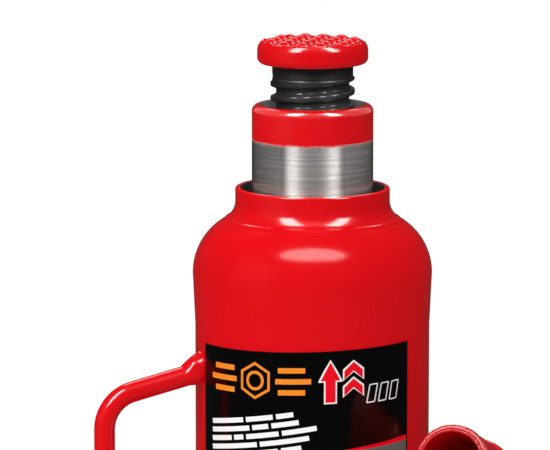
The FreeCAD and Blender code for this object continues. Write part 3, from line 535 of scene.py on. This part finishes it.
OUT, UP = math.cos(math.radians(BEND)), math.sin(math.radians(BEND))
THROAT_END = (NECK_RADIUS + THROAT - THROAT * OUT, THROAT_TOP - THROAT * UP)
SEAM_INSIDE = (THROAT_END[0] - WALL * OUT, THROAT_END[1] - WALL * UP)
outline = run((TANK_RADIUS, TANK_SEAT), (TANK_RADIUS, SWAGE_FOOT), 6.0)
outline += run(outline[-1], (SHOULDER_RADIUS, DOME_FOOT), 2.0)
outline += arc((SHOULDER_RADIUS - DOME, DOME_FOOT), DOME, 0, BEND, 2.0)[1:]
outline += run(outline[-1], THROAT_END, 0.3) + [SEAM_INSIDE]
outline += arc((SHOULDER_RADIUS - DOME, DOME_FOOT), DOME - WALL, BEND, 0, 5.0)
outline += [(TANK_RADIUS - WALL, SWAGE_FOOT), (TANK_RADIUS - WALL, TANK_SEAT), (TANK_RADIUS, TANK_SEAT)]
SPUN_SIDES = 256
shell = made("tank_shell", *lathe(outline, SPUN_SIDES, spun_ridge), "jack_body", "red_paint", red_enamel)
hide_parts("reservoir_tank")

outline = arc((NECK_RADIUS + THROAT, THROAT_TOP), THROAT, 180 + BEND, 180, 3.0)
outline += run(outline[-1], (NECK_RADIUS, TANK_TOP - LIP), 1.0)[:-1]
outline += arc((NECK_RADIUS - LIP, TANK_TOP - LIP), LIP, 0, 90, 10.0)
outline += arc((NECK_BORE + 0.6, TANK_TOP - 0.6), 0.6, 90, 180, 15.0)
BORE_WAIST, BORE_END = 200.0, 197.0
outline += [(NECK_BORE, BORE_WAIST), (NECK_BORE, BORE_END), SEAM_INSIDE]
turned_neck = lathe(outline, SPUN_SIDES, spun_ridge)
neck = made("tank_neck", *turned_neck, "jack_body", "red_paint", red_enamel, black_oxide)
repaint(neck, 1, lambda r, z: r < NECK_BORE + 0.3)
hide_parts("reservoir_tank")

# %% [markdown]
# **The ram** is a ground bar with a rounded, painted rim. Only its first 13 mm were sprayed with the tank's
# red, through a loose mask, so the paint ends in a soft speckled edge. The speckle belongs to the
# steel's finish as a mask by height and noise. The solid paint above it is the tank's own enamel.

# %% Steel with a sprayed edge
PAINT_EDGE = 225.4
SPRAY_BLUR = 0.9                         # mm over which the paint thins out
SPECKLE_REACH = 1.2                      # mm that a speck strays up or down

sprayed_steel = ground_steel.copy()
sprayed_steel.name = "ground_steel_with_sprayed_edge"
tree = sprayed_steel.node_tree
shader = next(n for n in tree.nodes if n.type == "BSDF_PRINCIPLED")
place = next(n for n in tree.nodes if n.type == "TEX_COORD")
height = add(tree, "ShaderNodeSeparateXYZ", {"Vector": (place, "Object")})
speckle = grains(tree, place, 0.7, 6.0)
uneven = grains(tree, place, 8.0, 1.0)
low = add(tree, "ShaderNodeMapRange", {"Value": (uneven, "Fac"), "To Min": -0.5 * MM, "To Max": 0.5 * MM})
wander = {"To Min": -SPECKLE_REACH * MM, "To Max": SPECKLE_REACH * MM}
rough_edge = add(tree, "ShaderNodeMapRange", {"Value": (speckle, "Fac"), **wander})
drift = add(tree, "ShaderNodeMath", {0: (low, "Result"), 1: (rough_edge, "Result")}, operation="ADD")
level = add(tree, "ShaderNodeMath", {0: (height, "Z"), 1: (drift, "Value")}, operation="ADD")
edges = {"From Min": (PAINT_EDGE - SPRAY_BLUR) * MM, "From Max": PAINT_EDGE * MM}
paint = add(tree, "ShaderNodeMapRange", {"Value": (level, "Value"), **edges})
for socket, painted in (("Base Color", colour("DB0410")), ("Metallic", 0.0), ("Roughness", 0.2)):
    links = shader.inputs[socket].links
    if socket == "Base Color":
        mixed = add(tree, "ShaderNodeMix", {0: (paint, "Result"), 7: painted}, data_type="RGBA")
        tree.links.new(links[0].from_socket, mixed.inputs[6])
        tree.links.new(mixed.outputs[2], shader.inputs[socket])
    else:
        mixed = add(tree, "ShaderNodeMix", {0: (paint, "Result"), 2: 1.0, 3: painted}, data_type="FLOAT")
        if links:
            tree.links.new(links[0].from_socket, mixed.inputs[2])
        tree.links.new(mixed.outputs[0], shader.inputs[socket])
print(len(tree.nodes), "nodes in the sprayed steel")

# %% Ram
RAM_RADIUS, RAM_TOP, RIM = 22.75, 238.2, 2.6
RAM_FOOT, PISTON_SEAT, RAM_SHOULDER, CHAMFER = 37.5, 14.9, 52.0, 0.6
RAM_BORE, BORE_MOUTH, BORE_TOP, BORE_FOOT, DRILL_TIP = 16.15, 19.9, 229.6, 122.2, 116.2
outline = [(0, RAM_FOOT), (PISTON_SEAT, RAM_FOOT)]
outline += [(PISTON_SEAT, RAM_SHOULDER), (RAM_RADIUS - CHAMFER, RAM_SHOULDER)]
outline += run((RAM_RADIUS, RAM_SHOULDER + CHAMFER), (RAM_RADIUS, PAINT_EDGE + 0.1), 8.0)
outline += run(outline[-1], (RAM_RADIUS, RAM_TOP - RIM), 2.0)
outline += arc((RAM_RADIUS - RIM, RAM_TOP - RIM), RIM, 0, 90, 6.0)[1:]
outline += arc((BORE_MOUTH, RAM_TOP - 0.5), 0.5, 90, 160, 15.0)
outline += [(RAM_BORE + 1.6, BORE_TOP + 1.6), (RAM_BORE, BORE_TOP), (RAM_BORE, BORE_FOOT), (0, DRILL_TIP)]
RAM_SIDES = 192
bar = lathe(outline, RAM_SIDES)
ram = made("ground_ram", *bar, "ram", "ground_steel", sprayed_steel, red_enamel, black_oxide)
repaint(ram, 1, lambda r, z: z > PAINT_EDGE + 0.05 and r > 19.6)
repaint(ram, 2, lambda r, z: r < BORE_MOUTH and z > 120)
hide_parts("ram")
# %% [markdown]
# **The saddle** is a small forging with a waffle of rounded lumps that stops a load from sliding. Two sets
# of soft grooves cross at right angles. Each point of the lathed cap is pressed down to the groove's floor
# where a groove passes, and the thick paint rounds every lump.

# %% Saddle
SADDLE_FOOT, SADDLE_TOP, SADDLE_RADIUS = 253.4, 263.0, 20.75
CROWN, HEM = 4.6, 2.4
SPIGOT_HOLE, HOLE_TOP = 8.05, 258.5
WAFFLE_SPACING, WAFFLE_DEPTH = 7.0, 1.5


def groove(across):
    """How deep a groove is, 0 to 1, at a distance across the waffle: a rolling wave with broad tops."""
    return (0.5 - 0.5 * math.cos(2 * math.pi * across / WAFFLE_SPACING)) ** 1.6


def waffled(x, y, z):
    depth = 1 - (1 - groove(x)) * (1 - groove(y))
    worn = 0.16 * noise.noise(Vector((x, y, z)) / 5.0)
    floor = SADDLE_TOP - WAFFLE_DEPTH * depth + worn
    return x, y, min(z, floor) if z > SADDLE_TOP - 2.5 else z


outline = [(SPIGOT_HOLE, SADDLE_FOOT)]
outline += run(outline[-1], (SADDLE_RADIUS - HEM, SADDLE_FOOT), 3.0)
outline += arc((SADDLE_RADIUS - HEM, SADDLE_FOOT + HEM), HEM, -90, 0, 8.0)[1:]
outline += arc((SADDLE_RADIUS - CROWN, SADDLE_TOP - CROWN), CROWN, 0, 90, 3.0)
outline += run(outline[-1], (0.0, SADDLE_TOP), 0.32)[:-1]
outline += [(0, SADDLE_TOP), (0, HOLE_TOP), (SPIGOT_HOLE, HOLE_TOP)]
SADDLE_SIDES = 300
disc = lathe(outline, SADDLE_SIDES, waffled)
saddle = made("waffle_saddle", *disc, "screw", "red_paint", red_enamel, sharp=60.0)
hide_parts("saddle")

# %% [markdown]
# **The extension screw** has a coarse trapezoid thread, 16/3 mm to a turn, that runs out under a plain
# collar. A thread could be swept along a helix and cut out, but a groove written as a depth at
# each angle and height gives clean quads and a soft run-out.

# %% Extension screw
PITCH, CREST, ROOT, COLLAR = 16.0 / 3.0, 15.8, 13.7, 15.15
COLLAR_FOOT, SCREW_FOOT = SADDLE_FOOT - 4.8, SADDLE_FOOT - 112.0
SPIGOT, SPIGOT_TOP, GUIDE = 8.0, 258.4, 7.0
THREAD_END, END_HEIGHT, RUN_OUT = math.radians(-144.0), SADDLE_FOOT - 4.6, math.radians(32.0)


def threaded(x, y, z):
    """Presses the thread's groove into a plain bar."""
    r = math.hypot(x, y)
    if r < ROOT or z < SCREW_FOOT + 6.3 or z > SADDLE_FOOT - 0.1:
        return x, y, z
    behind = (THREAD_END - math.atan2(y, x)) % (2 * math.pi)
    turns = (z - END_HEIGHT + PITCH * behind / (2 * math.pi)) / PITCH
    away = (turns if turns > 0 else abs(turns - round(turns))) * PITCH
    deep = 1 - smoothstep(0.75, 2.0, away)
    if turns > -0.5:
        deep *= smoothstep(0.0, RUN_OUT, behind)
    bar = COLLAR + (CREST - COLLAR) * (1 - smoothstep(COLLAR_FOOT - 0.4, COLLAR_FOOT, z))
    wanted = min(bar, CREST - (CREST - ROOT) * deep)
    return x * wanted / r, y * wanted / r, z


outline = [(0, SCREW_FOOT), (GUIDE, SCREW_FOOT), (GUIDE, SCREW_FOOT + 6.0), (ROOT - 0.2, SCREW_FOOT + 6.0)]
outline += run((CREST, SCREW_FOOT + 6.2), (CREST, SADDLE_FOOT), 0.3)
outline += [(SPIGOT, SADDLE_FOOT), (SPIGOT, SPIGOT_TOP), (0, SPIGOT_TOP)]
THREAD_SIDES = 120
rod = lathe(outline, THREAD_SIDES, threaded)
screw = made("extension_screw_thread", *rod, "screw", "black_steel", black_oxide)
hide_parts("extension_screw")
# %% [markdown]
# **The carry handle** is a bent bar, welded to the tank at both ends and sprayed with it. A curve with a
# bevel would do, but points along straight runs and arcs keep the bar's own bend of 14 mm. Where the
# bar meets the tank, the weld is a lump that is thickest above the bar, because it was laid from above.

# %% Carry handle
HANDLE_ANGLE, ROD, REACH = math.radians(-146.0), 3.9, 81.5
HANDLE_TOP, HANDLE_FOOT, HANDLE_BEND, SLOPE = 139.0, 62.0, 14.0, math.radians(13.0)
BEND_STEPS = 16


def out_from_tank(reach, aside, z):
    """Point at a distance from the tank's axis in the handle's direction, and aside of its plane."""
    c, s = math.cos(HANDLE_ANGLE), math.sin(HANDLE_ANGLE)
    return reach * c - aside * s, reach * s + aside * c, z


def bent(corners, bend):
    """Path of a bar through its corners, with a round bend at each inner one, as (reach, z) points."""
    path = [corners[0]]
    for before, corner, after in zip(corners, corners[1:], corners[2:]):
        into = (Vector(before) - Vector(corner)).normalized()
        out = (Vector(after) - Vector(corner)).normalized()
        half = into.angle(out) / 2
        centre = Vector(corner) + (into + out).normalized() * (bend / math.sin(half))
        start = Vector(corner) + into * (bend / math.tan(half)) - centre
        end = Vector(corner) + out * (bend / math.tan(half)) - centre
        step = start.angle_signed(end) / BEND_STEPS
        path += [tuple(centre + start @ Matrix.Rotation(step * k, 2)) for k in range(BEND_STEPS + 1)]
    return path + [corners[-1]]


def tube(path, radius, sides):
    """Round bar along an upright path, closed at both ends."""
    points, faces = [], []
    for k, here in enumerate(path):
        ahead = Vector(path[min(k + 1, len(path) - 1)]) - Vector(path[max(k - 1, 0)])
        normal = Vector((-ahead.y, ahead.x)).normalized()
        for s in range(sides):
            angle = 2 * math.pi * s / sides
            middle = Vector(here) + normal * radius * math.cos(angle)
            points.append(out_from_tank(middle.x, radius * math.sin(angle), middle.y))
    for k in range(len(path) - 1):
        for s in range(sides):
            after = (s + 1) % sides
            faces.append((k * sides + s, k * sides + after, (k + 1) * sides + after, (k + 1) * sides + s))
    last = (len(path) - 1) * sides
    faces += [tuple(range(sides))[::-1], tuple(range(last, last + sides))]
    return points, faces


drop = (REACH - TANK_RADIUS) * math.tan(SLOPE)
INSIDE = TANK_RADIUS - 1.0               # the bar's ends, just under the tank's skin
corners = [(INSIDE, HANDLE_TOP + 0.2), (REACH, HANDLE_TOP - drop)]
corners += [(REACH, HANDLE_FOOT), (INSIDE, HANDLE_FOOT)]
bar = tube(bent(corners, HANDLE_BEND), ROD, 40)
handle = made("carry_handle_bar", *bar, "jack_body", "red_paint", red_enamel)
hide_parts("carry_handle")

# %% Handle welds
WELD_REACH = 7.6                         # how far the weld runs out along the bar
WELD_UP, WELD_DOWN, WELD_ASIDE = 7.6, 4.4, 5.6
WELD_SUNK, WELD_ROUGHNESS, WELD_GRAIN = 0.7, 0.6, 3.2


def weld_lump(height, slope, seed):
    """Lump of weld round the bar's end: its foot on the tank, thick above the bar, thinning along it."""
    rings, sides = 16, 40
    bare = ROD - 0.25                    # the lump ends just under the bar's skin
    points, faces = [], []
    for ring in range(rings + 1):
        t = ring / rings
        for s in range(sides):
            angle = 2 * math.pi * s / sides
            up, aside = math.cos(angle), math.sin(angle)
            foot = WELD_UP if up > 0 else WELD_DOWN
            fall = math.cos(t * math.pi / 2) ** 0.8
            high = up * (bare + (foot - bare) * fall)
            wide = aside * (bare + (WELD_ASIDE - bare) * fall)
            reach = TANK_RADIUS - WELD_SUNK + (WELD_REACH + WELD_SUNK) * t
            reach -= TANK_RADIUS - math.sqrt(TANK_RADIUS ** 2 - wide ** 2) if t < 0.4 else 0.0
            grain = noise.noise(Vector((reach, wide, high + seed)) / WELD_GRAIN)
            rough = WELD_ROUGHNESS * grain * fall
            centre = height - (reach - TANK_RADIUS) * slope
            points.append(out_from_tank(reach, wide + aside * rough, centre + high + up * rough))
    for ring in range(rings):
        for s in range(sides):
            after = (s + 1) % sides
            low, high = ring * sides, (ring + 1) * sides
            faces.append((low + s, low + after, high + after, high + s))
    faces += [tuple(range(sides))[::-1], tuple(range(rings * sides, rings * sides + sides))]
    return points, faces


points, faces = weld_lump(HANDLE_TOP, math.tan(SLOPE), 0.0)
more, more_faces = weld_lump(HANDLE_FOOT, 0.0, 40.0)
faces += [tuple(i + len(points) for i in face) for face in more_faces]
lumps = (points + more, faces)
welds = made("carry_handle_weld_lumps", *lumps, "jack_body", "red_paint", red_enamel, sharp=70.0)
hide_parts("carry_handle_welds")

# %% [markdown]
# **The weld round the tank's foot** is a fillet laid in one pass. Its ripples, about 2.4 mm apart, are the
# frozen edges of the weld pool, so each is a small crescent across the bead.

# %% Tank weld
BEAD, RIPPLE, RIPPLE_DEPTH = 4.3, 2.4, 0.28


def rippled(x, y, z):
    r, angle = math.hypot(x, y), math.atan2(y, x)
    if r < TANK_RADIUS + 0.2 or z < TANK_SEAT + 0.2:
        return x, y, z
    bow = 0.35 * math.sin((z - TANK_SEAT) / BEAD * math.pi)
    phase = (angle * TANK_RADIUS + bow * RIPPLE) / RIPPLE
    step = RIPPLE_DEPTH * ((phase % 1.0) ** 2 - 0.4) + 0.35 * noise.noise(Vector((x, y, 0)) / 9.0)
    grown = 1 + step * 0.7 / r
    return x * grown, y * grown, z + step * 0.7


ripples = round(2 * math.pi * TANK_RADIUS / RIPPLE)
RIPPLE = 2 * math.pi * TANK_RADIUS / ripples
outline = [(TANK_RADIUS - 0.3, TANK_SEAT - 0.1), (TANK_RADIUS + BEAD, TANK_SEAT - 0.1)]
outline += arc((TANK_RADIUS - 0.4, TANK_SEAT - 0.4), BEAD + 0.55, 6, 84, 8.0)
outline += [(TANK_RADIUS - 0.3, TANK_SEAT + BEAD + 0.2)]
turned_bead = lathe(outline, ripples * 8, rippled)
bead = made("tank_weld_bead", *turned_bead, "jack_body", "red_paint", red_enamel, sharp=80.0)
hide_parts("tank_base_weld")

# %% [markdown]
# **The handle socket** is a piece of tube with a rolled lip, cast and painted rough. It is lathed upright
# and then laid along the lever, whose pivot the record gives.

# %% Handle socket
SOCKET_RADIUS, SOCKET_BORE, SOCKET_START, SOCKET_END = 13.3, 10.8, 46.0, 90.0
LEVER_TILT = math.radians(20.0)
PIVOT = Vector(next(j["pos_m"] for j in frame["joints"] if j["name"] == "socket_swing")) / MM
LAID = Matrix.Translation(PIVOT) @ Matrix.Rotation(math.pi / 2 - LEVER_TILT, 4, "X")


def on_lever(x, y, z):
    """Lays an upright piece along the lever, with the roughness of the tube's skin."""
    r = math.hypot(x, y)
    rough = 1 + (0.16 * noise.noise(Vector((x, y, z)) / 2.4) + 0.1 * noise.noise(Vector((x, y, z)) / 7.0)) / r
    return tuple(LAID @ Vector((x * rough, y * rough, z)))


outline = [(SOCKET_BORE, SOCKET_START), (SOCKET_RADIUS - 0.8, SOCKET_START)]
outline += run((SOCKET_RADIUS, SOCKET_START + 0.8), (SOCKET_RADIUS, SOCKET_END - 4.6), 1.0)
outline += arc((SOCKET_RADIUS - 0.75, SOCKET_END - 3.6), 1.0, 0, 60, 15.0)
outline += arc((SOCKET_RADIUS - 1.25, SOCKET_END - 1.3), 1.3, 10, 100, 10.0)
outline += [(SOCKET_RADIUS - 1.65, SOCKET_END - 0.28)]
outline += arc((SOCKET_BORE + 0.55, SOCKET_END - 0.6), 0.6, 70, 180, 15.0)
outline += run((SOCKET_BORE, SOCKET_END - 1.5), (SOCKET_BORE, SOCKET_START), 3.0)
laid_tube = lathe(outline, 96, on_lever)
socket = made("handle_socket_tube", *laid_tube, "pump_lever", "red_paint", cast_enamel, sharp=60.0)
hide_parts("handle_socket")
# %% [markdown]
# **The label's print** is ink on the film, so it stands a few hundredths of a millimetre proud. A picture
# could be mapped on the film, but shapes cut from thin curved sheet stay sharp at any distance. The
# maker's words and mark are left out: plain bars stand for the lines of text, a ringed hexagon for the
# mark, and an arrow with chevrons for the rating. Shapes are drawn flat, in millimetres from the label's
# middle, and then wrapped round the tank.

# %% Wrapping print round the tank
LABEL_MIDDLE = math.radians(-138.6 + 116.8 / 2)
LABEL_Z = 108.0
FILM = TANK_RADIUS + 0.25
INK = 0.07                               # drawn thicker than real ink, so that it never sinks in the film
SKEW = math.radians(1.8)


def wrapped(u, v, out):
    """Point on the tank for a place on the label: u along the arc, v up, both from the middle."""
    angle = LABEL_MIDDLE + u / FILM
    r = FILM + out
    tilt = math.sin(u / FILM) * FILM * math.tan(SKEW)
    return r * math.cos(angle), r * math.sin(angle), LABEL_Z + v + tilt


def strip_faces(top, low, out):
    """Curved sheet between two rows of label points, closed into a thin solid."""
    count = len(top)
    points = []
    for lift in (out, out - INK):
        points += [wrapped(u, v, lift) for u, v in top] + [wrapped(u, v, lift) for u, v in low]
    faces = []
    for k in range(count - 1):
        a, b, c, d = k, k + 1, count + k + 1, count + k
        back = 2 * count
        faces += [(d, c, b, a), (a + back, b + back, c + back, d + back)]
        faces += [(a, b, b + back, a + back), (c, d, d + back, c + back)]
    for k in (0, count - 1):
        ends = (k, count + k, 3 * count + k, 2 * count + k)
        faces.append(ends if k == 0 else ends[::-1])
    return points, faces


def band(start, end, width, out=INK):
    """Straight bar of print between two label points, as wide as given, square-ended."""
    (u0, v0), (u1, v1) = start, end
    length = math.dist(start, end)
    across = (-(v1 - v0) / length * width / 2, (u1 - u0) / length * width / 2)
    count = max(1, math.ceil(abs(u1 - u0) / 1.0))
    middle = [(u0 + (u1 - u0) * k / count, v0 + (v1 - v0) * k / count) for k in range(count + 1)]
    top = [(u + across[0], v + across[1]) for u, v in middle]
    low = [(u - across[0], v - across[1]) for u, v in middle]
    return strip_faces(top, low, out)


def between(start, end, count):
    """Points that split a straight stretch into count equal parts, without the first."""
    return [tuple(a + (b - a) * k / count for a, b in zip(start, end)) for k in range(1, count + 1)]


def plate(top, low, out=INK):
    """Filled shape between an upper and a lower row of label points, cut finely along the arc."""
    fine_top, fine_low = [top[0]], [low[0]]
    for a, b, c, d in zip(top, top[1:], low, low[1:]):
        count = max(1, math.ceil(max(abs(b[0] - a[0]), abs(d[0] - c[0])) / 1.0))
        fine_top += between(a, b, count)
        fine_low += between(c, d, count)
    return strip_faces(fine_top, fine_low, out)


def printed(name, ink, shapes):
    """Joins the shapes of one ink to one piece."""
    points, faces = [], []
    for more, more_faces in shapes:
        faces += [tuple(i + len(points) for i in face) for face in more_faces]
        points += more
    return made(name, points, faces, "jack_body", "label_film", ink)


# %% [markdown]
# Lines of text read as bars of uneven length, set on a slope of eight degrees, with gaps where words
# would end. They start at one margin, the way such labels are laid out.

# %% Bars for the lines of text
TEXT_SLOPE = math.radians(8.2)
TEXT_HEIGHT, TEXT_MARGIN, FIRST_LINE, LINE_STEP = 1.85, -39.2, 15.6, 3.24
WORDS = [
    (16.6, 11.2, 6.6), (19.4, 6.6, 10.4), (11.0, 4.4, 13.4, 13.0), (22.6, 19.0), (14.2, 15.6, 7.6),
    (9.6, 20.4), (18.0, 12.0, 7.8), (13.0, 20.2), (8.2, 15.8, 9.4),
]
WORD_GAP = 1.3


def on_line(line, along):
    """Label point at a distance along a line of text."""
    start = FIRST_LINE - line * LINE_STEP
    return TEXT_MARGIN + along * math.cos(TEXT_SLOPE), start + along * math.sin(TEXT_SLOPE)


bars = []
for line, lengths in enumerate(WORDS):
    along = 0.0
    for length in lengths:
        bars.append(band(on_line(line, along), on_line(line, along + length), TEXT_HEIGHT))
        along += length + WORD_GAP
printed("label_text_bars", white_ink, bars)

# %% [markdown]
# The maker's panel becomes a plain hexagon ring, like a nut, between two sets of three bars.

# %% Orange mark
def polygon_ring(centre, radius, width, sides, turn):
    """Ring of straight bars round a centre."""
    corners = []
    for k in range(sides + 1):
        angle = turn + 2 * math.pi * k / sides
        corners.append((centre[0] + radius * math.cos(angle), centre[1] + radius * math.sin(angle)))
    return [mitred(a, b, centre, width) for a, b in zip(corners, corners[1:])]


def mitred(a, b, centre, width):
    """One side of a ring, its ends cut towards the centre so that neighbours meet."""
    radius = math.dist(a, centre)
    inner = [tuple(c + (p - c) * (1 - width / radius) for p, c in zip(point, centre)) for point in (a, b)]
    return plate([a, b], inner)


NUT = (-17.6, 33.1)
orange = polygon_ring(NUT, 7.0, 1.1, 6, math.pi / 6) + polygon_ring(NUT, 3.7, 1.1, 20, 0.0)
for side in (-1, 1):
    for rise, reach in ((4.1, 19.4), (0.0, 21.6), (-4.1, 19.4)):
        start = 8.2 if rise == 0.0 else 9.2
        height = NUT[1] + rise
        orange.append(band((NUT[0] + side * start, height), (NUT[0] + side * reach, height), 2.0))
printed("label_orange_mark", orange_ink, orange)

# %% [markdown]
# The rating becomes two lift signs in red with a white rim: a block arrow, and a stack of two
# chevrons. Three slanted outlines stand beside them.

# %% Lift signs
def arrow(u, v, width, height, grow):
    """Block arrow that points up, grown by a rim, as filled rows from left to right."""
    head, shaft = height * 0.46, width * 0.25
    shoulder = v + height - head
    g = grow
    peak = v + height + g * 1.6
    halfway = shoulder + (peak - shoulder) * 0.5
    top = [(u - width / 2 - g * 1.3, shoulder), (u - shaft - g, halfway), (u, peak),
           (u + shaft + g, halfway), (u + width / 2 + g * 1.3, shoulder)]
    low = [(across, shoulder - g) for across, _ in top]
    stem_top = [(u - shaft - g, shoulder), (u + shaft + g, shoulder)]
    stem_low = [(u - shaft - g, v - g), (u + shaft + g, v - g)]
    return [plate(top, low, INK + (0 if g else INK)), plate(stem_top, stem_low, INK + (0 if g else INK))]


def chevron(u, v, width, rise, thick, grow):
    """Roof-shaped band, grown by a rim."""
    half = width / 2 + grow
    top = [(u - half, v + thick + grow), (u, v + rise + thick + grow * 1.3), (u + half, v + thick + grow)]
    low = [(u - half, v - grow), (u, v + rise - grow * 1.0), (u + half, v - grow)]
    return plate(top, low, INK + (0 if grow else INK))


RIM = 0.55
ARROW, CHEVRONS, SIGN_FOOT = 11.1, 19.9, 25.0
SIGN_HEIGHT = 15.0
for name, ink, grow in (("label_sign_rims", white_ink, RIM), ("label_signs", red_ink, 0.0)):
    shapes = arrow(ARROW, SIGN_FOOT, 7.4, SIGN_HEIGHT, grow)
    shapes += [chevron(CHEVRONS, SIGN_FOOT + lift, 7.2, 3.2, 3.2, grow) for lift in (2.0, 8.2)]
    printed(name, ink, shapes)

OUTLINE_WIDTH = 0.42
outlines = []
for start in (25.2, 30.2, 35.2):
    low_left, low_right = (start, 23.7), (start + 3.3, 23.8)
    high_left, high_right = (start + 1.3, 30.3), (start + 4.6, 30.4)
    ends = ((low_left, low_right), (high_left, high_right), (low_left, high_left), (low_right, high_right))
    outlines += [band(a, b, OUTLINE_WIDTH) for a, b in ends]
printed("label_slanted_outlines", white_ink, outlines)

# %% [markdown]
# A red stripe climbs to the right above a grey-green field in the label's lower corner.

# %% Corner stripe
STRIPE_TOP = [(14.0, 6.6), (44.4, 8.9)]
STRIPE_FOOT = [(14.0, 6.0), (44.4, 7.0)]
FIELD_FOOT = [(14.0, -30.0), (44.4, -30.0)]
printed("label_corner_stripe", red_ink, [plate(STRIPE_TOP, STRIPE_FOOT)])
printed("label_corner_field", green_ink, [plate(STRIPE_FOOT, FIELD_FOOT)])
# %% [markdown]
# ## Floor
# The jack stands on a round of pale matt studio board. It is built as a disc with a softly turned-down
# edge, so that it has no hard rim against the white room.

# %% Floor
FLOOR_RADIUS, FLOOR_EDGE = 0.5, 0.02
floor_points, floor_faces = [(0, 0, 0)], []
FLOOR_RINGS = [(0.25, 0.0), (FLOOR_RADIUS - FLOOR_EDGE, 0.0), (FLOOR_RADIUS, -0.006)]
FLOOR_SIDES = 96
for radius, height in FLOOR_RINGS:
    for k in range(FLOOR_SIDES):
        angle = 2 * math.pi * k / FLOOR_SIDES
        floor_points.append((radius * math.cos(angle), radius * math.sin(angle), height - 0.0002))
for k in range(FLOOR_SIDES):
    after = (k + 1) % FLOOR_SIDES
    floor_faces.append((0, 1 + k, 1 + after))
    for ring in range(len(FLOOR_RINGS) - 1):
        low, high = 1 + ring * FLOOR_SIDES, 1 + (ring + 1) * FLOOR_SIDES
        floor_faces.append((low + k, high + k, high + after, low + after))
board = bpy.data.meshes.new("floor")
board.from_pydata(floor_points, [], floor_faces)
board.shade_smooth()
floor = bpy.data.objects.new("floor", board)
bpy.context.collection.objects.link(floor)
paper, tree, shader, place = finish("matt_studio_board", "F2F1EF", 0.0, 0.7)
fibre = grains(tree, place, 1.5, 4.0)
shades(tree, shader, "Base Color", (fibre, "Fac"), "EEEDEB", "F6F5F3")
board.materials.append(paper)
floor.visible_glossy = False             # a dull board that no paint mirrors
floor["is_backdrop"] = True

# %% [markdown]
# The strips shine on everything but the tank's shell, its label and the floor. The oval shines only on
# the shell, the label, the base, the pump and the handle. The grey cards and the steel's own strips
# shine only on the ground ram.

# %% What each light reaches
def reach(name, lamps, wanted):
    """Lets lamps shine only on the pieces whose names pass a test."""
    reached = bpy.data.collections.new(name)
    for thing in bpy.context.scene.objects:
        if thing.type == "MESH" and wanted(thing.name):
            reached.objects.link(thing)
    for lamp in lamps:
        lamp.light_linking.receiver_collection = reached


SHELL = ("tank_shell", "rating_label", "label_")
reach("strips_reach", (left_strip, right_strip), lambda name: not name.startswith(SHELL + ("floor",)))
reach("oval_reaches", (shoulder_oval,), lambda name: name.startswith(SHELL + ("base_", "pump_", "handle_")))
reach("cards_reach", steel_cards, lambda name: name == "ground_ram")

# %% [markdown]
# ## Size at the end
# The visual model is meant to stay in the measured model's box. The last cell prints how far it reaches
# past that box on each side, in millimetres.

# %% Sizes and finish
LOW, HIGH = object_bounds()
low_growth = [round((a - b) / MM, 2) for a, b in zip(CAD_LOW, LOW)]
high_growth = [round((b - a) / MM, 2) for a, b in zip(CAD_HIGH, HIGH)]
print("grown by", low_growth, high_growth, "mm")
